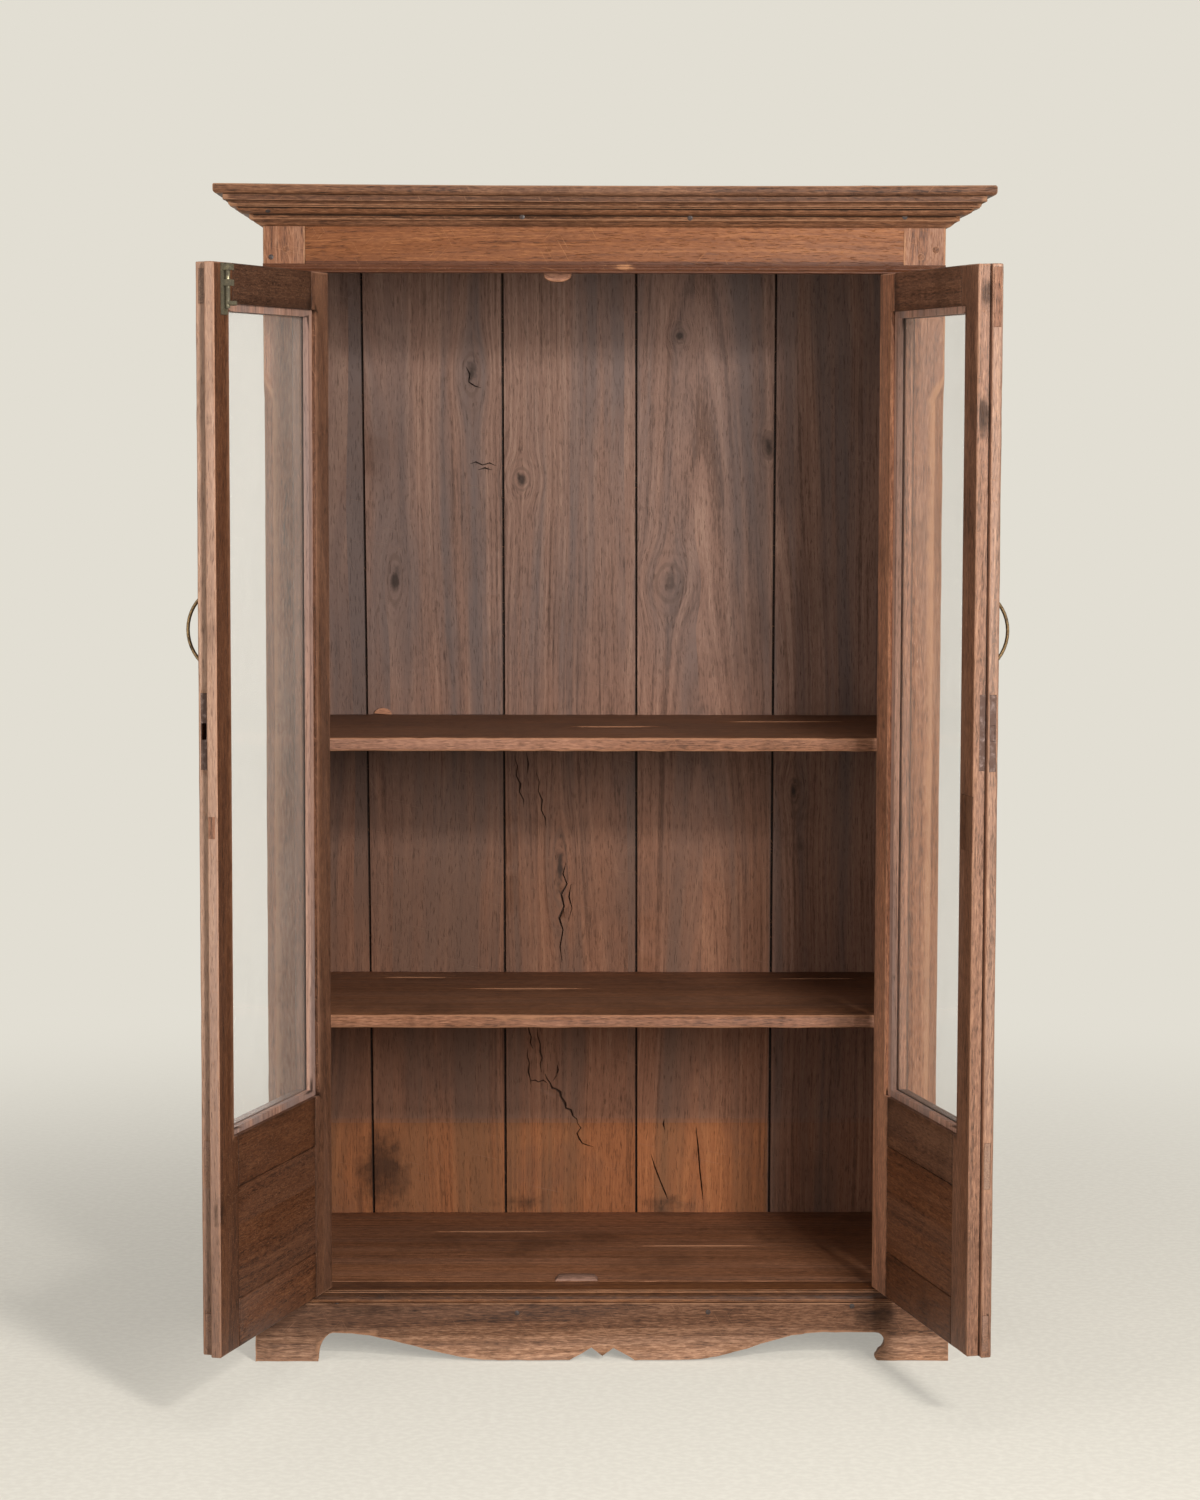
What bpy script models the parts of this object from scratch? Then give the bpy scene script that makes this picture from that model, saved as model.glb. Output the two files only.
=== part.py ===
"""A glazed teak almirah with its two doors standing open, in metres, +Z up.

Places are given in the cabinet: X runs to the right from the centre line, Y runs back from the front face of
the posts, and Z rises from the floor. One empty then sets the origin under the middle of the open cabinet.
"""

from math import cos, pi, radians, sin

import bmesh
import bpy
from mathutils import Matrix, Vector

for item in list(bpy.data.objects):
    bpy.data.objects.remove(item, do_unlink=True)

# Carcass
OVERALL_HEIGHT = 1.650
OPENING_WIDTH = 0.830
BODY_DEPTH = 0.512
POST_WIDTH = 0.058
POST_DEPTH = 0.048
POST_CHAMFER = 0.014
CHAMFER_FOOT = 0.230
CHAMFER_HEAD = 1.385
CHAMFER_STOP = 0.028
SIDE_BOARD_THICKNESS = 0.020
SIDE_BOARD_SETBACK = 0.012
BACK_BOARD_THICKNESS = 0.014
BOARD_FOOT = 0.060
BACK_JOINT_GAP = 0.002
BOTTOM_BOARD_THICKNESS = 0.0195
SHELF_THICKNESS = 0.019
SHELF_SETBACK = 0.080
UPPER_SHELF_TOP = 0.878
LOWER_SHELF_TOP = 0.480
CLEAT_WIDTH = 0.020
CLEAT_HEIGHT = 0.026
CLEAT_LENGTH = 0.350

# Joints between the tapering back boards, as shares of the opening at the foot and at the head
BACK_JOINTS = ((0.082, 0.062), (0.328, 0.321), (0.572, 0.566), (0.820, 0.823))

# Frieze, cornice and top
FRIEZE_HEIGHT = 0.0511
LINTEL_BEAD_HEIGHT = 0.0115
LINTEL_BEAD_REACH = 0.0044
CORNICE_HEIGHT = 0.0414
CORNICE_REACH = 0.051
TOP_BOARD_THICKNESS = 0.014
TOP_OVERHANG = 0.060
TOP_EDGE_ROUND = 0.006

# Sill and plinth
PLINTH_HEIGHT = 0.084
PLINTH_THICKNESS = 0.018
SILL_HEIGHT = 0.0195
SILL_REACH = 0.0035
APRON_RISE = 0.041
APRON_CLEARANCE = 0.0015
LEFT_FOOT = 0.089
RIGHT_FOOT = 0.1045
SIDE_FOOT = 0.085
FOOT_CURVE = 0.021
FOOT_HOLLOW = 0.0135
TOE_RADIUS = 0.0055
LEFT_FLAT = 0.001
LEFT_OGEE = 0.233
RIGHT_FLAT = 0.0765
RIGHT_OGEE = 0.190
NOTCH_HALF_WIDTH = 0.046
NOTCH_PEAK_OFFSET = 0.0155
NOTCH_PEAK = 0.019
NOTCH_TIP = 0.0075

# Doors
DOOR_THICKNESS = 0.030
DOOR_SIDE_GAP = 0.003
DOOR_END_GAP = 0.002
DOOR_STOP_GAP = 0.001
MEETING_GAP = 0.0015
MEETING_LAP = 0.011
MEETING_STEP = 0.015
HINGE_STILE_WIDTH = 0.064
MEETING_STILE_WIDTH = 0.065
TOP_RAIL_HEIGHT = 0.062
LOCK_RAIL_HEIGHT = 0.079
PANEL_HEIGHT = 0.150
BOTTOM_RAIL_HEIGHT = 0.065
TENON_THICKNESS = 0.008
TENON_FROM_FACE = 0.0045
TENON_SHOULDER = 0.009
STILE_REBATE = 0.015
RAIL_REBATE = 0.010
REBATE_DEPTH = 0.017
GLASS_THICKNESS = 0.003
BEAD_HEIGHT = 0.0075
PANEL_FIELD_MARGIN = 0.024
PANEL_FIELD_SETBACK = 0.009
PANEL_EDGE_SETBACK = 0.014
PANEL_INNER_SETBACK = 0.0006
LEFT_DOOR_OPEN = radians(107.05)
RIGHT_DOOR_OPEN = radians(103.0)

# Door stops on the left of the centre line
TOP_STOP_PLACE = -0.0655
TOP_STOP_WIDTH = 0.039
TOP_STOP_DROP = 0.012
TOP_STOP_HOLD = 0.040
BOTTOM_STOP_PLACE = -0.0365
BOTTOM_STOP_WIDTH = 0.061
BOTTOM_STOP_HEIGHT = 0.0078
STOP_DEPTH = 0.022
STOP_SLOPE = 0.005

# Hinges
HINGE_LENGTH = 0.070
HINGE_FROM_END = 0.180
HINGE_LEAF_WIDTH = 0.025
HINGE_LEAF_THICKNESS = 0.00105
HINGE_PIN_PROUD = 0.0035
KNUCKLE_RADIUS = 0.0032
PIN_RADIUS = 0.0014
PIN_CLEARANCE = 0.0003

# Handles
HANDLE_HEIGHT = 1.057
HANDLE_CHORD = 0.092
HANDLE_REACH = 0.027
HANDLE_WIRE = 0.0046
ROSE_RADIUS = 0.008
ROSE_THICKNESS = 0.0022

# Bolt on the left leaf
BOLT_FROM_EDGE = 0.032
BOLT_PLATE_WIDTH = 0.020
BOLT_PLATE_LENGTH = 0.066
BOLT_PLATE_THICKNESS = 0.002
BOLT_ROD_RADIUS = 0.0034
BOLT_GUIDE_WIDTH = 0.013
BOLT_GUIDE_LENGTH = 0.008
BOLT_GUIDE_SPACING = 0.020
BOLT_KNOB_RADIUS = 0.0032
BOLT_KNOB_LENGTH = 0.012
BOLT_ROD_LENGTH = 0.058
SLIDE_CLEARANCE = 0.0004

# Lock in the right leaf, and its strike in the left one
LOCK_HEIGHT = 0.927
LOCK_LENGTH = 0.099
LOCK_DEPTH = 0.044
LOCK_THICKNESS = 0.008
LOCK_FROM_FACE = 0.0035
LOCK_BOLT_HEIGHT = 0.020
LOCK_BOLT_THICKNESS = 0.005
LOCK_BOLT_LENGTH = 0.032
STRIKE_THICKNESS = 0.002
STRIKE_POCKET = 0.016
KEYHOLE_FROM_EDGE = 0.026
KEYHOLE_RADIUS = 0.0032
KEYHOLE_SLOT = 0.010

# Fits, edges and the place of the origin
FIT = 0.0003
ARRIS = 0.0012
ROUND_SIDES = 14
ORIGIN_BEHIND_FRONT = 0.050

# Places that follow from the sizes
HALF_OPENING = OPENING_WIDTH / 2
HALF_BODY = HALF_OPENING + POST_WIDTH
SIDE_OUTER = HALF_BODY - SIDE_BOARD_SETBACK
SIDE_INNER = SIDE_OUTER - SIDE_BOARD_THICKNESS
BACK_FACE = BODY_DEPTH - BACK_BOARD_THICKNESS
REAR_POST_FACE = BODY_DEPTH - POST_DEPTH
RAIL_DEPTH = DOOR_THICKNESS + DOOR_STOP_GAP
TOP_UNDER = OVERALL_HEIGHT - TOP_BOARD_THICKNESS
CORNICE_FOOT = TOP_UNDER - CORNICE_HEIGHT
LINTEL = CORNICE_FOOT - FRIEZE_HEIGHT - LINTEL_BEAD_HEIGHT
SILL_TOP = PLINTH_HEIGHT + SILL_HEIGHT
DOOR_FOOT = SILL_TOP + DOOR_END_GAP
DOOR_HEAD = LINTEL - DOOR_END_GAP
PANEL_FOOT = DOOR_FOOT + BOTTOM_RAIL_HEIGHT
PANEL_HEAD = PANEL_FOOT + PANEL_HEIGHT
GLASS_FOOT = PANEL_HEAD + LOCK_RAIL_HEIGHT
GLASS_HEAD = DOOR_HEAD - TOP_RAIL_HEIGHT
LEAF_REACH = (OPENING_WIDTH - 2 * DOOR_SIDE_GAP + MEETING_LAP - MEETING_GAP) / 2
PIN_PLACE = HALF_OPENING - DOOR_SIDE_GAP / 2
REBATE_FLOOR = DOOR_THICKNESS - REBATE_DEPTH
TENON = (TENON_FROM_FACE, TENON_FROM_FACE + TENON_THICKNESS)
LOCK_SPAN = (LOCK_FROM_FACE, LOCK_FROM_FACE + LOCK_THICKNESS)
LOCK_ENDS = (LOCK_HEIGHT - LOCK_LENGTH / 2, LOCK_HEIGHT + LOCK_LENGTH / 2)
LOCK_MIDDLE = LOCK_FROM_FACE + LOCK_THICKNESS / 2
LEFT = -1
RIGHT = 1


def finish(name, colour, roughness, metallic=0.0, transmission=0.0):
    """A plain material with one colour."""
    made = bpy.data.materials.new(name)
    made.use_nodes = True
    shader = made.node_tree.nodes["Principled BSDF"]
    shader.inputs["Base Color"].default_value = (*colour, 1.0)
    shader.inputs["Roughness"].default_value = roughness
    shader.inputs["Metallic"].default_value = metallic
    shader.inputs["Transmission Weight"].default_value = transmission
    return made


TEAK = finish("worn_teak", (0.27, 0.12, 0.06), 0.55)
DARK_TEAK = finish("dark_teak", (0.11, 0.05, 0.028), 0.5)
GREY_TEAK = finish("grey_teak", (0.15, 0.085, 0.06), 0.6)
GLASS = finish("window_glass", (0.95, 0.97, 0.96), 0.03, 0.0, 1.0)
IRON = finish("rusted_iron", (0.06, 0.045, 0.04), 0.7, 0.8)
BRASS = finish("old_brass", (0.35, 0.24, 0.1), 0.45, 1.0)
BRONZE = finish("dull_bronze", (0.22, 0.16, 0.1), 0.4, 1.0)


def add_box(bm, x, y, z):
    """Add a closed box between two limits along each axis."""
    spans = [sorted(limits) for limits in (x, y, z)]
    centre = Vector([(low + high) / 2 for low, high in spans])
    size = [high - low for low, high in spans]
    place = Matrix.Translation(centre) @ Matrix.Diagonal((*size, 1.0))
    bmesh.ops.create_cube(bm, size=1.0, matrix=place)


def add_loft(bm, rings):
    """Join rings of equally many points in order, and close both ends."""
    loops = [[bm.verts.new(point) for point in ring] for ring in rings]
    for lower, upper in zip(loops, loops[1:]):
        for i, corner in enumerate(lower):
            j = (i + 1) % len(lower)
            bm.faces.new((corner, lower[j], upper[j], upper[i]))
    bm.faces.new(loops[0][::-1])
    bm.faces.new(loops[-1])


def add_rod(bm, radius, low, high, place):
    """Add a round bar from low to high, where place turns (across, across, along) into a point."""
    angles = [2 * pi * i / ROUND_SIDES for i in range(ROUND_SIDES)]
    add_loft(bm, [[place(radius * cos(a), radius * sin(a), end) for a in angles] for end in (low, high)])


def add_frame(bm, outer, inner, y):
    """Add a flat rectangular frame, where outer and inner are (low x, high x, low z, high z)."""
    loops = []
    for depth in y:
        for x0, x1, z0, z1 in (outer, inner):
            corners = ((x0, z0), (x1, z0), (x1, z1), (x0, z1))
            loops.append([bm.verts.new((a, depth, b)) for a, b in corners])
    around = (loops[0], loops[1], loops[3], loops[2], loops[0])
    for first, second in zip(around, around[1:]):
        for i in range(4):
            j = (i + 1) % 4
            bm.faces.new((first[i], first[j], second[j], second[i]))


def mark_corners(bm):
    """Mark the edges that stick out, so that the bevel leaves the inside corners alone."""
    weight = bm.edges.layers.float.new("bevel_weight_edge")
    for edge in bm.edges:
        if edge.is_convex and edge.calc_face_angle() > radians(30):
            edge[weight] = 1.0


def make(name, bm, material, parent, location=(0.0, 0.0, 0.0), arris=0.0, smooth=False):
    """Turn a mesh into a named piece, with its sharp edges taken off by arris."""
    bmesh.ops.recalc_face_normals(bm, faces=bm.faces)
    if arris:
        mark_corners(bm)
    mesh = bpy.data.meshes.new(name)
    bm.to_mesh(mesh)
    bm.free()
    if smooth:
        mesh.shade_smooth()
        mesh.set_sharp_from_angle(angle=radians(40))
    made = bpy.data.objects.new(name, mesh)
    bpy.context.collection.objects.link(made)
    made.data.materials.append(material)
    made.parent = parent
    made.location = location
    if arris:
        edge = made.modifiers.new("Arris", "BEVEL")
        edge.width = arris
        edge.segments = 1
        edge.limit_method = "WEIGHT"
    return made


def shape(piece, bm, operation):
    """Cut a shape out of a piece (DIFFERENCE) or join it on (UNION), by a hidden guide."""
    guide = make(f"{piece.name}_guide_{len(piece.modifiers)}", bm, None, piece.parent, piece.location)
    guide.hide_render = True
    guide.display_type = "WIRE"
    step = piece.modifiers.new(operation.title(), "BOOLEAN")
    step.operation = operation
    step.object = guide


def boxes(*limits):
    """A new mesh with one box for each (x, y, z) set of limits."""
    bm = bmesh.new()
    for x, y, z in limits:
        add_box(bm, x, y, z)
    return bm


def board(name, x, y, z, material, parent):
    """A plain board with its edges eased."""
    return make(name, boxes((x, y, z)), material, parent, arris=ARRIS)


def empty(name, location, turn, parent):
    """A place that pieces hang on."""
    made = bpy.data.objects.new(name, None)
    bpy.context.collection.objects.link(made)
    made.location = location
    made.rotation_euler = (0.0, 0.0, turn)
    made.parent = parent
    return made


def arc(centre, radii, start, end, steps):
    """Points along part of an ellipse, with its angles in degrees."""
    turns = [radians(start + (end - start) * i / steps) for i in range(steps + 1)]
    return [(centre[0] + radii[0] * cos(a), centre[1] + radii[1] * sin(a)) for a in turns]


def ogee(start, end, steps):
    """Points of an S-curve that leaves and arrives level."""
    shares = [i / steps for i in range(steps + 1)]
    run = end[0] - start[0]
    rise = end[1] - start[1]
    return [(start[0] + run * t, start[1] + rise * (1 - cos(pi * t)) / 2) for t in shares]


def build_posts(cabinet):
    """Four corner posts: wide front ones with a stopped chamfer, and rear ones level with the side boards."""
    head = TOP_UNDER - FIT
    stops = (
        (0.0, ARRIS),
        (CHAMFER_FOOT, ARRIS),
        (CHAMFER_FOOT + CHAMFER_STOP, POST_CHAMFER),
        (CHAMFER_HEAD - CHAMFER_STOP, POST_CHAMFER),
        (CHAMFER_HEAD, ARRIS),
        (head, ARRIS),
    )
    for word, side in (("left", LEFT), ("right", RIGHT)):
        rings = []
        for z, cut in stops:
            corners = (
                (HALF_OPENING, 0.0),
                (HALF_BODY - cut, 0.0),
                (HALF_BODY, cut),
                (HALF_BODY, POST_DEPTH),
                (HALF_OPENING, POST_DEPTH),
            )
            rings.append([(side * x, y, z) for x, y in corners])
        bm = bmesh.new()
        add_loft(bm, rings)
        make(f"post_front_{word}", bm, TEAK, cabinet)
        x = (side * SIDE_INNER, side * HALF_BODY)
        board(f"post_rear_{word}", x, (REAR_POST_FACE, BODY_DEPTH), (0.0, head), TEAK, cabinet)


def build_sides_and_back(cabinet):
    """Side boards set back between the posts, and the back boards between the rear posts."""
    span = (BOARD_FOOT, TOP_UNDER - FIT)
    depth = (POST_DEPTH + FIT, REAR_POST_FACE - FIT)
    for word, side in (("left", LEFT), ("right", RIGHT)):
        board(f"side_board_{word}", (side * SIDE_INNER, side * SIDE_OUTER), depth, span, DARK_TEAK, cabinet)
    end = SIDE_INNER - FIT + BACK_JOINT_GAP / 2
    joints = [[share * OPENING_WIDTH - HALF_OPENING for share in joint] for joint in BACK_JOINTS]
    edges = ((-end, -end), *joints, (end, end))
    for number, (first, second) in enumerate(zip(edges, edges[1:]), start=1):
        low = [x + BACK_JOINT_GAP / 2 for x in first]
        high = [x - BACK_JOINT_GAP / 2 for x in second]
        corners = ((low[0], span[0]), (high[0], span[0]), (high[1], span[1]), (low[1], span[1]))
        rings = [[(x, y, z) for x, z in corners] for y in (BACK_FACE, BODY_DEPTH)]
        bm = bmesh.new()
        add_loft(bm, rings)
        make(f"back_board_{number}", bm, GREY_TEAK, cabinet, arris=ARRIS / 3)


def notched_outline(front):
    """Outline of a board between the side boards, cut round the front posts if it reaches them."""
    narrow = HALF_OPENING - FIT
    wide = SIDE_INNER - FIT
    right = []
    if front < POST_DEPTH:
        right += [(narrow, front), (narrow, POST_DEPTH + FIT)]
        front = POST_DEPTH + FIT
    right += [(wide, front), (wide, BACK_FACE - FIT)]
    return right + [(-x, y) for x, y in reversed(right)]


def build_shelves(cabinet):
    """The bottom board, two shelves and the cleats that carry the shelves."""
    levels = (
        ("bottom_board", RAIL_DEPTH, SILL_TOP, BOTTOM_BOARD_THICKNESS),
        ("shelf_upper", SHELF_SETBACK, UPPER_SHELF_TOP, SHELF_THICKNESS),
        ("shelf_lower", SHELF_SETBACK, LOWER_SHELF_TOP, SHELF_THICKNESS),
    )
    for name, front, top, thickness in levels:
        outline = notched_outline(front)
        bm = bmesh.new()
        add_loft(bm, [[(x, y, z) for x, y in outline] for z in (top - thickness, top)])
        make(name, bm, DARK_TEAK, cabinet, arris=ARRIS)
    back = REAR_POST_FACE - FIT
    for level, top in (("upper", UPPER_SHELF_TOP), ("lower", LOWER_SHELF_TOP)):
        head = top - SHELF_THICKNESS - FIT
        for word, side in (("left", LEFT), ("right", RIGHT)):
            x = (side * (SIDE_INNER - FIT), side * (SIDE_INNER - FIT - CLEAT_WIDTH))
            z = (head - CLEAT_HEIGHT, head)
            board(f"cleat_{level}_{word}", x, (back - CLEAT_LENGTH, back), z, DARK_TEAK, cabinet)


def scaled(steps, start, run, rise):
    """Points of a moulding from (reach, height) steps that are counted in tenths of a millimetre."""
    return [(start[0] + run * reach, start[1] + rise * height) for reach, height in steps]


def bead_outline():
    """Section of the bead under the frieze as (depth, height): a rounded middle between two fillets."""
    steps = ((22, 0), (24, 10), (15, 17), (34, 28), (44, 52), (36, 76), (16, 87), (24, 94), (22, 110))
    face = scaled(steps, (0.0, LINTEL), -LINTEL_BEAD_REACH / 44, LINTEL_BEAD_HEIGHT / 115)
    return [(-FIT, LINTEL), *face, (-FIT, LINTEL + LINTEL_BEAD_HEIGHT)]


def cornice_outline():
    """Section of the crown moulding as (reach, height): bed ogee, fillet, ovolo, hollow and top fillet."""
    steps = [
        (10, 0),
        *ogee((20, 5), (170, 90), 5),
        (175, 157),
        *arc((190, 247), (155, 88), 270, 360, 5),
        (420, 253),
        (420, 271),
        *arc((495, 274), (60, 60), 180, 90, 4),
        (510, 339),
    ]
    face = scaled(steps, (0.0, CORNICE_FOOT), CORNICE_REACH / 510, CORNICE_HEIGHT / 414)
    head = TOP_UNDER - FIT
    return [(FIT, CORNICE_FOOT), *face, (CORNICE_REACH, head), (FIT, head)]


def sill_outline(inner, reach_at_foot):
    """Section of the base moulding as (reach, height): two fillets with a flat band between them."""
    lower = ((15, 10), (35, 22), (35, 52), (16, 62), (16, 145))
    upper = ((30, 153), (30, 168), (10, 174), (10, 180), (30, 184), (30, 195))
    face = scaled(lower + upper, (PLINTH_THICKNESS, PLINTH_HEIGHT), SILL_REACH / 35, SILL_HEIGHT / 195)
    return [(inner, PLINTH_HEIGHT), (reach_at_foot, PLINTH_HEIGHT), *face, (inner, SILL_TOP)]


def add_front_moulding(bm, outline):
    """A moulding across the front, mitred at both ends."""
    add_loft(bm, [[(side * (HALF_BODY + p - FIT), -p, z) for p, z in outline] for side in (LEFT, RIGHT)])


def add_side_moulding(bm, outline, side):
    """A moulding along one side, mitred at the front and square at the back."""
    front = [(side * (HALF_BODY + p), FIT - p, z) for p, z in outline]
    back = [(side * (HALF_BODY + p), BODY_DEPTH, z) for p, z in outline]
    add_loft(bm, [front, back])


def build_head(cabinet):
    """Frieze rail with a bead that runs on over the posts, crown moulding, and the top board."""
    half = HALF_OPENING - FIT
    tongue = (LINTEL + LINTEL_BEAD_HEIGHT / 4, LINTEL + LINTEL_BEAD_HEIGHT / 2)
    rail = boxes(((-half, half), (0.0, RAIL_DEPTH), (LINTEL, TOP_UNDER - FIT)))
    rail = make("frieze_rail", rail, TEAK, cabinet)
    shape(rail, boxes(((ARRIS - half, half - ARRIS), (-4 * FIT, RAIL_DEPTH / 2), tongue)), "UNION")
    section = bead_outline()
    bm = bmesh.new()
    add_loft(bm, [[(x, y, z) for y, z in section] for x in (-HALF_BODY, HALF_BODY)])
    shape(rail, bm, "UNION")
    outline = cornice_outline()
    bm = bmesh.new()
    add_front_moulding(bm, outline)
    make("cornice_front", bm, TEAK, cabinet)
    for word, side in (("left", LEFT), ("right", RIGHT)):
        bm = bmesh.new()
        add_side_moulding(bm, outline, side)
        make(f"cornice_{word}", bm, TEAK, cabinet)
    soft = TOP_EDGE_ROUND
    under = arc((TOP_OVERHANG - soft, TOP_UNDER + soft), (soft, soft), 270, 360, 4)
    edge = [*under, (TOP_OVERHANG, OVERALL_HEIGHT - ARRIS), (TOP_OVERHANG - ARRIS, OVERALL_HEIGHT)]
    rings = []
    for reach, z in edge:
        half = HALF_BODY + reach
        rings.append([(-half, -reach, z), (half, -reach, z), (half, BODY_DEPTH, z), (-half, BODY_DEPTH, z)])
    bm = bmesh.new()
    add_loft(bm, rings)
    make("top_board", bm, TEAK, cabinet)


def plinth_outline():
    """Front of the plinth: worn left foot, scalloped apron with a centre notch, scrolled right foot."""
    half = HALF_BODY + PLINTH_THICKNESS
    low = APRON_CLEARANCE
    left = LEFT_FOOT - half
    toe = half - RIGHT_FOOT
    start = left + FOOT_CURVE + LEFT_FLAT
    stop = toe - RIGHT_FLAT
    hollow = arc((toe, APRON_RISE - FOOT_HOLLOW), (FOOT_HOLLOW, FOOT_HOLLOW), 90, -66, 7)
    tip = arc((toe + TOE_RADIUS, TOE_RADIUS), (TOE_RADIUS, TOE_RADIUS), 120, 260, 4)
    return [
        (-half, 0.0),
        (left, 0.0),
        *arc((left + FOOT_CURVE, 0.0), (FOOT_CURVE, APRON_RISE), 176, 90, 6),
        *ogee((start, APRON_RISE), (start + LEFT_OGEE, low), 9),
        (-NOTCH_HALF_WIDTH, low),
        (-NOTCH_PEAK_OFFSET, NOTCH_PEAK),
        (0.0, NOTCH_TIP),
        (NOTCH_PEAK_OFFSET, NOTCH_PEAK),
        (NOTCH_HALF_WIDTH, low),
        *ogee((stop - RIGHT_OGEE, low), (stop, APRON_RISE), 9),
        *hollow,
        *tip,
        (toe + TOE_RADIUS, 0.0),
        (half, 0.0),
        (half, PLINTH_HEIGHT - FIT),
        (-half, PLINTH_HEIGHT - FIT),
    ]


def side_plinth_outline():
    """Side of the plinth as (depth, height): a hollowed foot at each end, and up into the moulding."""
    rear = BODY_DEPTH - SIDE_FOOT
    head = PLINTH_HEIGHT + SILL_HEIGHT / 2
    return [
        (FIT, 0.0),
        (SIDE_FOOT, 0.0),
        *arc((SIDE_FOOT + FOOT_CURVE, 0.0), (FOOT_CURVE, APRON_RISE), 176, 90, 5),
        *arc((rear - FOOT_CURVE, 0.0), (FOOT_CURVE, APRON_RISE), 90, 4, 5),
        (rear, 0.0),
        (BODY_DEPTH - ARRIS, 0.0),
        (BODY_DEPTH - ARRIS, head),
        (FIT, head),
    ]


def build_base(cabinet):
    """Sill with its moulded nosing, and the plinth on three sides."""
    bm = bmesh.new()
    add_front_moulding(bm, sill_outline(FIT, PLINTH_THICKNESS))
    sill = make("sill", bm, TEAK, cabinet)
    half = HALF_OPENING - FIT
    depth = (-PLINTH_THICKNESS / 2, RAIL_DEPTH - FIT)
    shape(sill, boxes(((-half, half), depth, (PLINTH_HEIGHT + FIT, SILL_TOP))), "UNION")
    outline = plinth_outline()
    bm = bmesh.new()
    add_loft(bm, [[(x, y, z) for x, z in outline] for y in (-PLINTH_THICKNESS, -FIT)])
    make("plinth_front", bm, TEAK, cabinet)
    for word, side in (("left", LEFT), ("right", RIGHT)):
        walls = (side * (HALF_BODY + FIT), side * (HALF_BODY + PLINTH_THICKNESS))
        bm = bmesh.new()
        add_loft(bm, [[(x, y, z) for y, z in side_plinth_outline()] for x in walls])
        plinth = make(f"plinth_{word}", bm, TEAK, cabinet)
        bm = bmesh.new()
        add_side_moulding(bm, sill_outline(2 * FIT, PLINTH_THICKNESS / 2), side)
        shape(plinth, bm, "UNION")


def build_stops(cabinet):
    """Blocks that stop the left leaf, one behind the frieze rail and one on the bottom board."""
    face = RAIL_DEPTH + FIT
    x = (TOP_STOP_PLACE - TOP_STOP_WIDTH / 2, TOP_STOP_PLACE + TOP_STOP_WIDTH / 2)
    z = (LINTEL - TOP_STOP_DROP, LINTEL + TOP_STOP_HOLD)
    board("door_stop_top", x, (face, face + STOP_DEPTH), z, TEAK, cabinet)
    rings = []
    for height, slope in ((FIT, 0.0), (BOTTOM_STOP_HEIGHT, STOP_SLOPE)):
        half = BOTTOM_STOP_WIDTH / 2 - slope
        x = (BOTTOM_STOP_PLACE - half, BOTTOM_STOP_PLACE + half)
        y = (face, face + STOP_DEPTH - slope)
        z = SILL_TOP + height
        rings.append([(x[0], y[0], z), (x[1], y[0], z), (x[1], y[1], z), (x[0], y[1], z)])
    bm = bmesh.new()
    add_loft(bm, rings)
    make("door_stop_bottom", bm, TEAK, cabinet)


class Leaf:
    """One door: its side, the empty on its hinge pin, and its edges along u, from hinge edge to free edge."""

    def __init__(self, word, side, turn, cabinet):
        self.word = word
        self.side = side
        self.cabinet = cabinet
        self.pin_at = (side * PIN_PLACE, -HINGE_PIN_PROUD, 0.0)
        self.pin = empty(f"{word}_door_pin", self.pin_at, side * turn, cabinet)
        laps_over = side == RIGHT
        self.outer_end = LEAF_REACH if laps_over else LEAF_REACH - MEETING_LAP
        self.inner_end = LEAF_REACH - MEETING_LAP if laps_over else LEAF_REACH
        self.step = MEETING_STEP - MEETING_GAP / 2 if laps_over else MEETING_STEP + MEETING_GAP / 2
        self.stile_edge = self.inner_end - MEETING_STILE_WIDTH

    def place(self, u, v, z):
        """A point of the leaf: u from the hinge edge, v in from the outer face, and height z."""
        return (-self.side * (u + DOOR_SIDE_GAP / 2), v + HINGE_PIN_PROUD, z)

    def limits(self, u, v, z):
        """Limits of a box in the leaf, for add_box."""
        low = self.place(u[0], v[0], z[0])
        high = self.place(u[1], v[1], z[1])
        return tuple(zip(low, high))

    def block(self, *spans):
        """A mesh of boxes, each given by its spans of u, v and z."""
        return boxes(*[self.limits(*span) for span in spans])


def tenon_spans(leaf, grow=0.0):
    """Where the three rails' through tenons run, each from edge to edge of the leaf."""
    rails = ((GLASS_HEAD, DOOR_HEAD), (PANEL_HEAD, GLASS_FOOT), (DOOR_FOOT, PANEL_FOOT))
    depth = (TENON[0] - grow, TENON[1] + grow)
    width = (-grow, leaf.outer_end + grow)
    return [(width, depth, (z0 + TENON_SHOULDER - grow, z1 - TENON_SHOULDER + grow)) for z0, z1 in rails]


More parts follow.
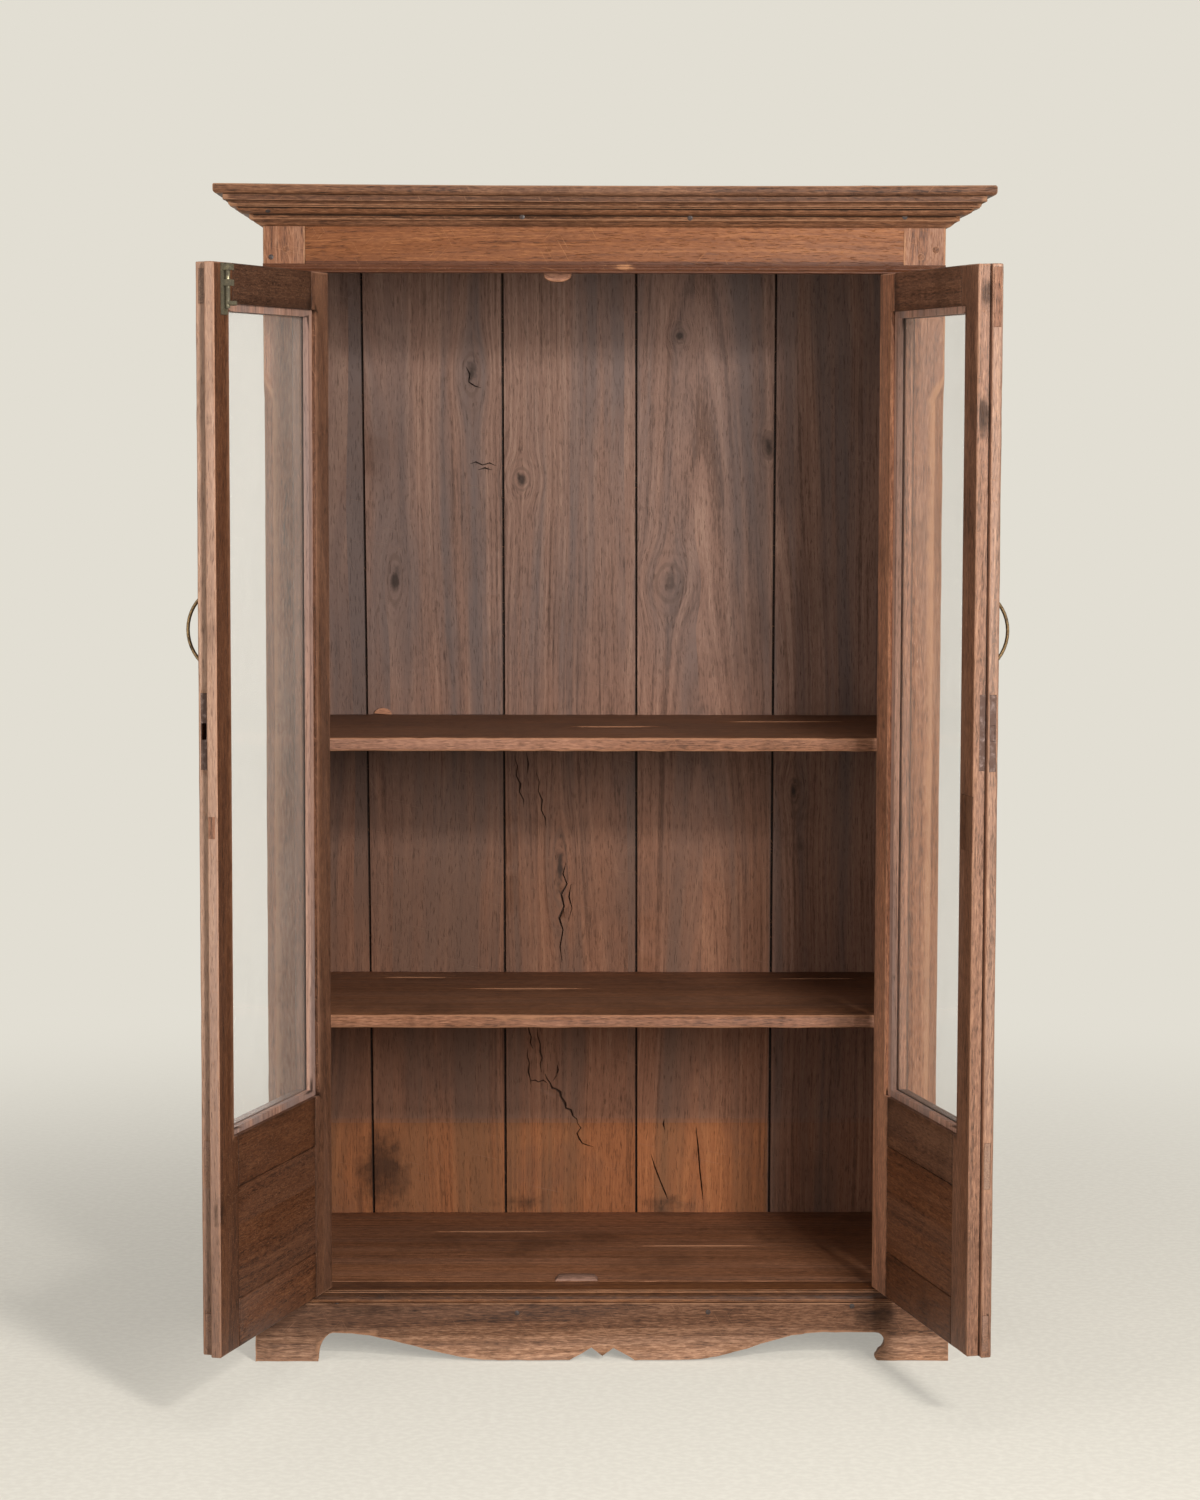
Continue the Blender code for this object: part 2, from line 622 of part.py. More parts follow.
def build_stiles(leaf):
    """Hinge stile and rebated meeting stile, with mortises through and a rebate for the glass."""
    past = 2 * DOOR_THICKNESS
    span = (DOOR_FOOT, DOOR_HEAD)
    pane = (GLASS_FOOT - RAIL_REBATE, GLASS_HEAD + RAIL_REBATE)
    seat = (REBATE_FLOOR, past)
    mortises = [((u0 - past, u1 + past), v, z) for (u0, u1), v, z in tenon_spans(leaf, FIT)]
    hinge = leaf.block(((0.0, HINGE_STILE_WIDTH), (0.0, DOOR_THICKNESS), span))
    hinge = make(f"{leaf.word}_hinge_stile", hinge, DARK_TEAK, leaf.pin, arris=ARRIS)
    rebate = (HINGE_STILE_WIDTH - STILE_REBATE, HINGE_STILE_WIDTH + past)
    shape(hinge, leaf.block((rebate, seat, pane)), "DIFFERENCE")
    shape(hinge, leaf.block(*mortises), "DIFFERENCE")
    edge = leaf.stile_edge
    section = (
        (edge, 0.0),
        (leaf.outer_end, 0.0),
        (leaf.outer_end, leaf.step),
        (leaf.inner_end, leaf.step),
        (leaf.inner_end, DOOR_THICKNESS),
        (edge, DOOR_THICKNESS),
    )
    bm = bmesh.new()
    add_loft(bm, [[leaf.place(u, v, z) for u, v in section] for z in span])
    meeting = make(f"{leaf.word}_meeting_stile", bm, DARK_TEAK, leaf.pin, arris=ARRIS)
    shape(meeting, leaf.block(((edge - past, edge + STILE_REBATE), seat, pane)), "DIFFERENCE")
    shape(meeting, leaf.block(*mortises), "DIFFERENCE")
    return meeting


def build_rails(leaf):
    """Top, lock and bottom rails, each with a through tenon at both ends."""
    u = (HINGE_STILE_WIDTH + FIT, leaf.stile_edge - FIT)
    past = 2 * DOOR_THICKNESS
    seat = (REBATE_FLOOR, past)
    rebates = {
        "top_rail": (GLASS_HEAD - past, GLASS_HEAD + RAIL_REBATE),
        "lock_rail": (GLASS_FOOT - RAIL_REBATE, GLASS_FOOT + past),
    }
    spans = {
        "top_rail": (GLASS_HEAD, DOOR_HEAD),
        "lock_rail": (PANEL_HEAD, GLASS_FOOT),
        "bottom_rail": (DOOR_FOOT, PANEL_FOOT),
    }
    for (name, z), tenon in zip(spans.items(), tenon_spans(leaf)):
        body = leaf.block((u, (0.0, DOOR_THICKNESS), z))
        rail = make(f"{leaf.word}_{name}", body, DARK_TEAK, leaf.pin, arris=ARRIS)
        shape(rail, leaf.block(tenon), "UNION")
        if name in rebates:
            across = (u[0] - LEAF_REACH, u[1] + LEAF_REACH)
            shape(rail, leaf.block((across, seat, rebates[name])), "DIFFERENCE")


def build_panel_and_glass(leaf):
    """Fielded lower panel, glass pane and the bead that holds the pane."""
    u = (HINGE_STILE_WIDTH + FIT, leaf.stile_edge - FIT)
    z = (PANEL_FOOT + FIT, PANEL_HEAD - FIT)
    layers = (
        (PANEL_FIELD_SETBACK, PANEL_FIELD_MARGIN),
        (PANEL_EDGE_SETBACK, 0.0),
        (DOOR_THICKNESS - PANEL_INNER_SETBACK, 0.0),
    )
    rings = []
    for v, margin in layers:
        u0, u1 = u[0] + margin, u[1] - margin
        z0, z1 = z[0] + margin, z[1] - margin
        rings.append([leaf.place(*point) for point in ((u0, v, z0), (u1, v, z0), (u1, v, z1), (u0, v, z1))])
    bm = bmesh.new()
    add_loft(bm, rings)
    make(f"{leaf.word}_panel", bm, DARK_TEAK, leaf.pin)
    pane_u = (HINGE_STILE_WIDTH - STILE_REBATE + FIT, leaf.stile_edge + STILE_REBATE - FIT)
    pane_z = (GLASS_FOOT - RAIL_REBATE + FIT, GLASS_HEAD + RAIL_REBATE - FIT)
    pane_v = (REBATE_FLOOR + FIT, REBATE_FLOOR + FIT + GLASS_THICKNESS)
    make(f"{leaf.word}_glass", leaf.block((pane_u, pane_v, pane_z)), GLASS, leaf.pin)
    bead_v = (pane_v[1] + FIT, pane_v[1] + FIT + BEAD_HEIGHT)
    low, high = leaf.place(pane_u[0], bead_v[0], pane_z[0]), leaf.place(pane_u[1], bead_v[1], pane_z[1])
    width = -leaf.side * (STILE_REBATE - 2 * FIT)
    rise = RAIL_REBATE - 2 * FIT
    outer = (low[0], high[0], low[2], high[2])
    inner = (low[0] + width, high[0] - width, low[2] + rise, high[2] - rise)
    bm = bmesh.new()
    add_frame(bm, outer, inner, (low[1], high[1]))
    make(f"{leaf.word}_glazing_bead", bm, GREY_TEAK, leaf.pin)


def build_handle(leaf):
    """A bow of wire on the outer face, standing on two roses."""
    u = (leaf.stile_edge + leaf.outer_end) / 2
    start = -FIT - ROSE_THICKNESS / 2
    rise = HANDLE_REACH - HANDLE_WIRE / 2 + start
    half = HANDLE_CHORD / 2
    radius = (half * half + rise * rise) / (2 * rise)
    spread = Vector((radius - rise, half)).angle(Vector((1.0, 0.0)))
    steps = 14
    rings = []
    for i in range(steps + 1):
        turn = spread * (2 * i / steps - 1)
        ring = []
        for j in range(ROUND_SIDES):
            around = 2 * pi * j / ROUND_SIDES
            out = radius + HANDLE_WIRE / 2 * cos(around)
            v = start + radius - rise - out * cos(turn)
            ring.append(leaf.place(u + HANDLE_WIRE / 2 * sin(around), v, HANDLE_HEIGHT + out * sin(turn)))
        rings.append(ring)
    bm = bmesh.new()
    add_loft(bm, rings)
    handle = make(f"{leaf.word}_handle", bm, BRONZE, leaf.pin, smooth=True)
    bm = bmesh.new()
    for z in (HANDLE_HEIGHT - half, HANDLE_HEIGHT + half):
        add_rod(bm, ROSE_RADIUS, -FIT - ROSE_THICKNESS, -FIT, lambda a, b, v: leaf.place(u + a, v, z + b))
    shape(handle, bm, "UNION")


def build_hinges(leaf):
    """Two butt hinges: a plate with its pin on the post, and a leaf with the middle knuckle on the door."""
    third = HINGE_LENGTH / 6
    near = DOOR_SIDE_GAP / 2 - FIT
    far = near - HINGE_LEAF_THICKNESS
    depth = (HINGE_PIN_PROUD, HINGE_PIN_PROUD + HINGE_LEAF_WIDTH)
    bore = PIN_RADIUS + PIN_CLEARANCE
    levels = (("upper", DOOR_HEAD - HINGE_FROM_END), ("lower", DOOR_FOOT + HINGE_FROM_END))
    for word, height in levels:
        ends = (height - HINGE_LENGTH / 2, height + HINGE_LENGTH / 2)
        middle = (height - third, height + third)
        knuckles = ((ends[0], middle[0]), (middle[1], ends[1]))
        bm = bmesh.new()
        add_rod(bm, PIN_RADIUS, *ends, lambda a, b, z: (a, b, z))
        plate = make(f"{leaf.word}_{word}_hinge_plate", bm, IRON, leaf.cabinet, leaf.pin_at)
        for low, high in knuckles:
            bm = bmesh.new()
            add_rod(bm, KNUCKLE_RADIUS, low, high, lambda a, b, z: (a, b, z))
            shape(plate, bm, "UNION")
        x = (leaf.side * near, leaf.side * far)
        for tab in knuckles:
            shape(plate, boxes((x, (0.0, 2 * depth[0]), tab)), "UNION")
        shape(plate, boxes((x, depth, ends)), "UNION")
        run = (middle[0] + FIT, middle[1] - FIT)
        bm = bmesh.new()
        add_rod(bm, KNUCKLE_RADIUS, *run, lambda a, b, z: (a, b, z))
        hung = make(f"{leaf.word}_{word}_hinge_leaf", bm, IRON, leaf.pin)
        x = (-leaf.side * near, -leaf.side * far)
        shape(hung, boxes((x, (0.0, 2 * depth[0]), run)), "UNION")
        shape(hung, boxes((x, depth, ends)), "UNION")
        bm = bmesh.new()
        add_rod(bm, bore, ends[0], ends[1], lambda a, b, z: (a, b, z))
        shape(hung, bm, "DIFFERENCE")


def build_bolt(leaf):
    """Brass bolt on the inner face of the left leaf: a plate with two guides, and the rod in them."""
    u = leaf.inner_end - BOLT_FROM_EDGE
    face = DOOR_THICKNESS + FIT
    top = face + BOLT_PLATE_THICKNESS
    axis = top + FIT + BOLT_ROD_RADIUS
    head = DOOR_HEAD - ARRIS
    width = (u - BOLT_PLATE_WIDTH / 2, u + BOLT_PLATE_WIDTH / 2)
    guide = (u - BOLT_GUIDE_WIDTH / 2, u + BOLT_GUIDE_WIDTH / 2)
    cover = axis + BOLT_GUIDE_WIDTH / 2
    foot = head - BOLT_PLATE_LENGTH
    plate = make("bolt_plate", leaf.block((width, (face, top), (foot, head))), BRASS, leaf.pin)
    bore = BOLT_ROD_RADIUS + SLIDE_CLEARANCE
    for high in (head - ARRIS, head - ARRIS - BOLT_GUIDE_SPACING):
        span = (high - BOLT_GUIDE_LENGTH, high)
        shape(plate, leaf.block((guide, (top - BOLT_PLATE_THICKNESS / 2, cover), span)), "UNION")
    bm = bmesh.new()
    add_rod(bm, bore, foot, head + BOLT_PLATE_LENGTH, lambda a, b, z: leaf.place(u + a, axis + b, z))
    shape(plate, bm, "DIFFERENCE")
    bm = bmesh.new()
    low = head - BOLT_ROD_LENGTH
    add_rod(bm, BOLT_ROD_RADIUS, low, head, lambda a, b, z: leaf.place(u + a, axis + b, z))
    rod = make("bolt_rod", bm, BRASS, leaf.pin, smooth=True)
    bm = bmesh.new()
    knob = low + 2 * BOLT_KNOB_RADIUS
    reach = axis + BOLT_KNOB_LENGTH
    add_rod(bm, BOLT_KNOB_RADIUS, axis, reach, lambda a, b, v: leaf.place(u + a, v, knob + b))
    shape(rod, bm, "UNION")


def build_strike(leaf, stile):
    """Iron strike plate let into the outer edge of the left leaf, over a pocket for the lock's bolt."""
    end = leaf.outer_end
    past = end + DOOR_THICKNESS
    hole_v = (LOCK_MIDDLE - LOCK_BOLT_THICKNESS / 2, LOCK_MIDDLE + LOCK_BOLT_THICKNESS / 2)
    hole_v = (hole_v[0] - 2 * SLIDE_CLEARANCE, hole_v[1] + 2 * SLIDE_CLEARANCE)
    rise = LOCK_BOLT_HEIGHT / 2 + 2 * SLIDE_CLEARANCE
    hole_z = (LOCK_HEIGHT - rise, LOCK_HEIGHT + rise)
    seat_v = (LOCK_SPAN[0] - FIT, LOCK_SPAN[1] + FIT)
    seat_z = (LOCK_ENDS[0] - FIT, LOCK_ENDS[1] + FIT)
    shape(stile, leaf.block(((end - STRIKE_THICKNESS - FIT, past), seat_v, seat_z)), "DIFFERENCE")
    shape(stile, leaf.block(((end - STRIKE_POCKET, past), hole_v, hole_z)), "DIFFERENCE")
    plate = leaf.block(((end - STRIKE_THICKNESS, end), LOCK_SPAN, LOCK_ENDS))
    plate = make("strike_plate", plate, IRON, leaf.pin)
    shape(plate, leaf.block(((end - STRIKE_POCKET, past), hole_v, hole_z)), "DIFFERENCE")


def build_lock(leaf, stile):
    """Lock case let into the edge of the right leaf, with its sliding bolt and the keyhole in the stile."""
    end = leaf.outer_end
    past = end + DOOR_THICKNESS
    seat_v = (LOCK_SPAN[0] - FIT, LOCK_SPAN[1] + FIT)
    seat_z = (LOCK_ENDS[0] - FIT, LOCK_ENDS[1] + FIT)
    shape(stile, leaf.block(((end - LOCK_DEPTH - FIT, past), seat_v, seat_z)), "DIFFERENCE")
    case = make("lock_case", leaf.block(((end - LOCK_DEPTH, end), LOCK_SPAN, LOCK_ENDS)), IRON, leaf.pin)
    bolt_v = (LOCK_MIDDLE - LOCK_BOLT_THICKNESS / 2, LOCK_MIDDLE + LOCK_BOLT_THICKNESS / 2)
    bolt_z = (LOCK_HEIGHT - LOCK_BOLT_HEIGHT / 2, LOCK_HEIGHT + LOCK_BOLT_HEIGHT / 2)
    bolt_u = (end - FIT - LOCK_BOLT_LENGTH, end - FIT)
    gap = SLIDE_CLEARANCE
    free_v = (bolt_v[0] - gap, bolt_v[1] + gap)
    free_z = (bolt_z[0] - gap, bolt_z[1] + gap)
    shape(case, leaf.block(((bolt_u[0] - gap, past), free_v, free_z)), "DIFFERENCE")
    make("lock_bolt", leaf.block((bolt_u, bolt_v, bolt_z)), IRON, leaf.pin)
    u = end - KEYHOLE_FROM_EDGE
    through = (-LOCK_FROM_FACE, LOCK_MIDDLE)
    slot = (u - KEYHOLE_RADIUS / 2, u + KEYHOLE_RADIUS / 2)
    bm = bmesh.new()
    add_rod(bm, KEYHOLE_RADIUS, *through, lambda a, b, v: leaf.place(u + a, v, LOCK_HEIGHT + b))
    shape(stile, bm, "DIFFERENCE")
    shape(stile, leaf.block((slot, through, (LOCK_HEIGHT - KEYHOLE_SLOT, LOCK_HEIGHT))), "DIFFERENCE")


def build_door(leaf):
    """One whole door on its hinges."""
    stile = build_stiles(leaf)
    build_rails(leaf)
    build_panel_and_glass(leaf)
    build_handle(leaf)
    build_hinges(leaf)
    return stile


def main():
    cabinet = empty("almirah", (0.0, -ORIGIN_BEHIND_FRONT, 0.0), 0.0, None)
    build_posts(cabinet)
    build_sides_and_back(cabinet)
    build_shelves(cabinet)
    build_head(cabinet)
    build_base(cabinet)
    build_stops(cabinet)
    left = Leaf("left", LEFT, LEFT_DOOR_OPEN, cabinet)
    left_stile = build_door(left)
    build_bolt(left)
    build_strike(left, left_stile)
    right = Leaf("right", RIGHT, RIGHT_DOOR_OPEN, cabinet)
    right_stile = build_door(right)
    build_lock(right, right_stile)


main()
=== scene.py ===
# %% [markdown]
# # A glazed teak almirah
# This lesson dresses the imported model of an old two-door cabinet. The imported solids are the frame: every piece
# made here sits where they say and rides on one of their bodies. Lengths are in metres, Z is up, and the cabinet
# faces -Y.

# %% Load the frame
from math import cos, pi, radians, sin

import bmesh
import bpy
from mathutils import Matrix, Vector
from mathutils.bvhtree import BVHTree


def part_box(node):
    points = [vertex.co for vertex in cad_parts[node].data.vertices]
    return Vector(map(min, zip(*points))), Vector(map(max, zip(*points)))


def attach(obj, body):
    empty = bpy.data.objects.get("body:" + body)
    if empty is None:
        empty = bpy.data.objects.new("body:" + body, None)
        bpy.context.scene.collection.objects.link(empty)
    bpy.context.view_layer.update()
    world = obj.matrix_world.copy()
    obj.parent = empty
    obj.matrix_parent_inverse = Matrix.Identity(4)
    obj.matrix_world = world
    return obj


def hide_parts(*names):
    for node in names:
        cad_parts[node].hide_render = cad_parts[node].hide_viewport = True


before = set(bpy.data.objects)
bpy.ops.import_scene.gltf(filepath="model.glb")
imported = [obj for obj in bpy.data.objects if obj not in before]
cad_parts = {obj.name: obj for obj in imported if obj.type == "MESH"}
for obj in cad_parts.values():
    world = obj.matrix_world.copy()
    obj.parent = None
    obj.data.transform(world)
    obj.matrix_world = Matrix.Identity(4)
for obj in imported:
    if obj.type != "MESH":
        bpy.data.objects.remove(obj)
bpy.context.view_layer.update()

# %% [markdown]
# The camera stands about five metres in front of the cabinet, a little left of its middle and level with the upper
# shelf, and looks slightly down. A long lens keeps the uprights nearly parallel. Its place and turn were solved from
# the straight edges of the cabinet, so an object that is modelled at the right size also lands at the right place in
# the picture.

# %% Camera
EYE = Vector((-0.07497, -5.25479, 1.33537))
PITCH, YAW, ROLL = radians(-5.13), radians(0.77), radians(0.13)
PICTURE = (1200, 1500)
FOCAL_PIXELS = 3729.33

ahead = Vector((sin(YAW) * cos(PITCH), cos(YAW) * cos(PITCH), sin(PITCH)))
level = Vector((cos(YAW), -sin(YAW), 0.0))
upright = level.cross(ahead)
RIGHT = level * cos(ROLL) + upright * sin(ROLL)
UP = upright * cos(ROLL) - level * sin(ROLL)
turn = Matrix((RIGHT, UP, -ahead)).transposed().to_4x4()

lens = bpy.data.cameras.new("camera")
lens.sensor_fit = "VERTICAL"
lens.sensor_height = 36.0
lens.sensor_width = 36.0
lens.lens = 36.0 * FOCAL_PIXELS / PICTURE[1]
camera = bpy.data.objects.new("camera", lens)
camera.matrix_world = Matrix.Translation(EYE) @ turn
bpy.context.scene.collection.objects.link(camera)
bpy.context.scene.camera = camera
print("camera", round(lens.lens, 2), "mm lens")

# %% [markdown]
# Small fittings such as nails are easiest to place by where they are seen. A ray goes from the eye through a point of
# the picture and stops on the solid that carries the fitting, which gives the place and the direction it faces.

# %% Find a place on a solid
def tree_of(node):
    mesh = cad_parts[node].data
    return BVHTree.FromPolygons([v.co for v in mesh.vertices], [list(p.vertices) for p in mesh.polygons])


def spot(node, x, y):
    """Where the ray through picture point (x, y) meets a node, and the way that surface faces."""
    ray = ahead + RIGHT * ((x - PICTURE[0] / 2) / FOCAL_PIXELS) + UP * ((PICTURE[1] / 2 - y) / FOCAL_PIXELS)
    place, facing, _, _ = tree_of(node).ray_cast(EYE, ray.normalized())
    if place is None:
        raise ValueError(f"the ray through {x}, {y} misses {node}")
    return place, facing


print("a nail on the crown sits at", [round(v, 3) for v in spot("cornice_front", 522, 217)[0]])

# %% [markdown]
# Every finish below is a tree of nodes. Written out in full, each node takes four or five lines, and the idea gets lost
# among them. These short tools add one node each, set its values and link its inputs, so that a finish reads from top
# to bottom. Colours are given as on a paint card and turned into the linear values that shaders mix in.

# %% Tools for node trees
def tone(red, green, blue):
    """A colour read off a paint card, 0 to 255, as the linear values that a shader works in."""
    part = [v / 255 for v in (red, green, blue)]
    return tuple(v / 12.92 if v <= 0.04045 else ((v + 0.055) / 1.055) ** 2.4 for v in part) + (1.0,)


def put(tree, kind, inputs=None, **settings):
    """Add a node. An input takes a value, or another node's output to link to."""
    node = tree.nodes.new(kind)
    for key, value in settings.items():
        setattr(node, key, value)
    for key, value in (inputs or {}).items():
        if isinstance(value, bpy.types.NodeSocket):
            tree.links.new(value, node.inputs[key])
        else:
            node.inputs[key].default_value = value
    return node


def calc(tree, operation, *values, clamp=False):
    """A Math node's result."""
    node = put(tree, "ShaderNodeMath", dict(enumerate(values)), operation=operation, use_clamp=clamp)
    return node.outputs[0]


def fade(tree, value, low, high, start=0.0, end=1.0):
    """A smooth step: start below low, end above high."""
    inputs = {0: value, 1: low, 2: high, 3: start, 4: end}
    return put(tree, "ShaderNodeMapRange", inputs, interpolation_type="SMOOTHSTEP").outputs[0]


def around(tree, value, gain, base=0.0):
    """Take a value that swings about 0.5, and let it swing about base instead, gain times as far."""
    return calc(tree, "MULTIPLY_ADD", calc(tree, "SUBTRACT", value, 0.5), gain, base)


def mix(tree, share, first, second):
    """Blend two colours."""
    return put(tree, "ShaderNodeMix", {0: share, 6: first, 7: second}, data_type="RGBA").outputs[2]


def new_material(name):
    """An empty material, and its node tree."""
    made = bpy.data.materials.new(name)
    made.use_nodes = True
    made.node_tree.nodes.clear()
    return made, made.node_tree


def object_place(tree):
    """Where a point of the surface is, in metres."""
    return put(tree, "ShaderNodeTexCoord").outputs["Object"]


def seen_directly(tree):
    """1 for what the camera, a mirror or glass shows, and 0 for light on its way to the wood."""
    path = put(tree, "ShaderNodeLightPath").outputs
    direct = calc(tree, "MAXIMUM", path["Is Camera Ray"], path["Is Glossy Ray"])
    return calc(tree, "MAXIMUM", direct, path["Is Transmission Ray"])


print("the middle of a paint card is", round(tone(128, 128, 128)[0], 3), "in linear values")

# %% [markdown]
# The cabinet stands in a studio with a pale floor and a pale surround. A painted wall would throw its own light on the
# wood, so the surround is shown only to the camera, mirrors and glass, and a weak even light stands in for the room.
# The floor keeps the cabinet's shadow close to it, and melts into the surround further away.

# %% World and floor
BACKDROP = tone(226, 222, 211)

world = bpy.data.worlds.new("studio")
bpy.context.scene.world = world
world.use_nodes = True
tree = world.node_tree
tree.nodes.clear()
air = put(tree, "ShaderNodeBackground", {"Color": (1.0, 0.985, 0.96, 1.0), "Strength": 0.18})
wall = put(tree, "ShaderNodeBackground", {"Color": BACKDROP, "Strength": 1.0})
both = put(tree, "ShaderNodeMixShader", {0: seen_directly(tree), 1: air.outputs[0], 2: wall.outputs[0]})
put(tree, "ShaderNodeOutputWorld", {"Surface": both.outputs[0]})

bpy.ops.object.select_all(action="DESELECT")
bpy.ops.mesh.primitive_plane_add(size=16.0, location=(0.0, 0.0, -0.0005))
floor = bpy.context.active_object
floor.name = "studio_floor"
bpy.ops.object.transform_apply(location=True)

paper, tree = new_material("floor_paper")
where = object_place(tree)
away = put(tree, "ShaderNodeVectorMath", {0: where}, operation="LENGTH").outputs["Value"]
share = calc(tree, "MULTIPLY", seen_directly(tree), fade(tree, away, 0.8, 3.2, 0.45, 1.0))
speck = put(tree, "ShaderNodeTexNoise", {"Vector": where, "Scale": 90.0, "Detail": 3.0}).outputs["Fac"]
tint = mix(tree, fade(tree, speck, 0.35, 0.7), tone(214, 209, 198), BACKDROP)
matt = put(tree, "ShaderNodeBsdfDiffuse", {"Color": tint, "Roughness": 0.6})
glow = put(tree, "ShaderNodeEmission", {"Color": BACKDROP, "Strength": 1.0})
both = put(tree, "ShaderNodeMixShader", {0: share, 1: matt.outputs[0], 2: glow.outputs[0]})
put(tree, "ShaderNodeOutputMaterial", {"Surface": both.outputs[0]})
floor.data.materials.append(paper)
print("the floor is", floor.dimensions.x, "m wide")

# %% [markdown]
# Five soft lamps light the wood. The main lamp stands in front, a little to the right and above, with a small high one
# beside it, so that the right post throws its shadow across the right end of the back boards, and each shelf shades the
# boards below it. Weaker lamps on the left, above and behind open the shadows.

# %% Lamps
WARM_WHITE = (1.0, 0.97, 0.93)
MIDDLE = (0.0, 0.1, 0.80)


def soft_lamp(name, place, target, width, height, watts):
    lamp = bpy.data.lights.new(name, "AREA")
    lamp.shape = "RECTANGLE"
    lamp.size, lamp.size_y = width, height
    lamp.energy = watts
    lamp.color = WARM_WHITE
    made = bpy.data.objects.new(name, lamp)
    aim = Vector(target) - Vector(place)
    made.matrix_world = Matrix.Translation(place) @ aim.to_track_quat("-Z", "Y").to_matrix().to_4x4()
    bpy.context.scene.collection.objects.link(made)


soft_lamp("main_lamp", (1.46, -4.15, 1.60), MIDDLE, 0.5, 1.2, 90.0)
soft_lamp("high_lamp", (1.25, -3.40, 2.24), MIDDLE, 0.45, 0.28, 67.0)
soft_lamp("left_lamp", (-2.6, -3.4, 1.4), MIDDLE, 1.4, 1.8, 30.0)
soft_lamp("top_lamp", (0.3, -1.2, 3.6), (0.0, 0.0, 1.2), 1.8, 1.2, 20.0)
soft_lamp("back_lamp", (-1.5, 3.8, 2.4), (0.0, 0.4, 0.9), 2.0, 1.6, 60.0)
bpy.context.scene.view_settings.view_transform = "Standard"

# %% [markdown]
# Teak shows three things at once: fine fibres a millimetre or so apart, broader streaks, and the growth rings of the
# trunk, which a board cuts at a slant so that they draw long pointed arches. The rings are made as they grow, as
# distance from a slightly wandering pith behind the board. All of it is one node group that reads a grain vector
# whose Z runs along the fibre, so a rail and a stile can share it.

# %% Teak grain group
def new_group(name, inputs, outputs):
    """An empty node group with named sockets, and its two end nodes."""
    group = bpy.data.node_groups.new(name, "ShaderNodeTree")
    kinds = {"float": "NodeSocketFloat", "vector": "NodeSocketVector", "colour": "NodeSocketColor"}
    for label, kind, value in inputs:
        socket = group.interface.new_socket(label, in_out="INPUT", socket_type=kinds[kind])
        if value is not None:
            socket.default_value = value
    for label, kind in outputs:
        group.interface.new_socket(label, in_out="OUTPUT", socket_type=kinds[kind])
    return group, group.nodes.new("NodeGroupInput").outputs, group.nodes.new("NodeGroupOutput")


def stretched(tree, vector, scale, turn=(0.0, 0.0, 0.0), shift=(0.0, 0.0, 0.0)):
    node = put(tree, "ShaderNodeMapping", {"Vector": vector, "Scale": scale, "Rotation": turn, "Location": shift})
    return node.outputs["Vector"]


def vector_calc(tree, operation, *values, output=0):
    node = put(tree, "ShaderNodeVectorMath", dict(enumerate(values)), operation=operation)
    return node.outputs[output]


def noise(tree, vector, scale, detail=3.0, roughness=0.55, shift=(0.0, 0.0, 0.0), output="Fac"):
    """Noise in a space that is stretched first, so that its specks can be long."""
    vector = stretched(tree, vector, scale, shift=shift)
    node = put(tree, "ShaderNodeTexNoise", {"Vector": vector, "Scale": 1.0, "Detail": detail, "Roughness": roughness})
    return node.outputs[output]


def give(result, name, value):
    """Send a value to one of a group's outputs."""
    result.id_data.links.new(value, result.inputs[name])


grain_group, given, result = new_group(
    "Teak Grain",
    [("Grain", "vector", None), ("Board", "float", 0.0), ("Pith", "vector", None), ("Ring Gap", "float", 0.008),
     ("Wander", "float", 0.03)],
    [("Rings", "float"), ("Streaks", "float"), ("Fibres", "float"), ("Flecks", "float"), ("Pores", "float"),
     ("Blotches", "float"), ("Greying", "float")],
)
tree = grain_group
seed = put(tree, "ShaderNodeCombineXYZ", {i: calc(tree, "MULTIPLY", given["Board"], step)
                                          for i, step in enumerate((0.613, 0.271, 1.737))}).outputs[0]
own = vector_calc(tree, "ADD", given["Grain"], seed)
drift = noise(tree, own, (4.0, 4.0, 1.1), 2.0, 0.5, output="Color")
wander = vector_calc(tree, "SUBTRACT", drift, (0.5, 0.5, 0.5))
wander = put(tree, "ShaderNodeVectorMath", {0: wander, "Scale": given["Wander"]}, operation="SCALE").outputs[0]
local = put(tree, "ShaderNodeSeparateXYZ", {0: vector_calc(tree, "ADD", given["Grain"], wander)}).outputs
pith = put(tree, "ShaderNodeSeparateXYZ", {0: given["Pith"]}).outputs
side = calc(tree, "SUBTRACT", local[0], pith[0])
depth = calc(tree, "ADD", calc(tree, "ADD", local[1], pith[1]), calc(tree, "MULTIPLY", local[2], pith[2]))
reach = calc(tree, "SQRT", calc(tree, "ADD", calc(tree, "MULTIPLY", side, side), calc(tree, "MULTIPLY", depth, depth)))
band = calc(tree, "ADD", calc(tree, "DIVIDE", reach, given["Ring Gap"]), calc(tree, "MULTIPLY", given["Board"], 17.3))
settings = {"W": band, "Scale": 1.0, "Detail": 2.0, "Roughness": 0.5}
rings = put(tree, "ShaderNodeTexNoise", settings, noise_dimensions="1D").outputs["Fac"]
give(result, "Rings", fade(tree, rings, 0.36, 0.66))
sideways = calc(tree, "MULTIPLY", reach, calc(tree, "SIGN", side))
flow = put(tree, "ShaderNodeCombineXYZ", {0: sideways, 1: local[1], 2: local[2]}).outputs[0]
flow = vector_calc(tree, "ADD", flow, seed)
fine = vector_calc(tree, "ADD", own, wander)
give(result, "Streaks", noise(tree, flow, (120.0, 120.0, 3.0), 4.0, 0.62))
give(result, "Fibres", noise(tree, fine, (430.0, 430.0, 9.0), 4.0, 0.65))
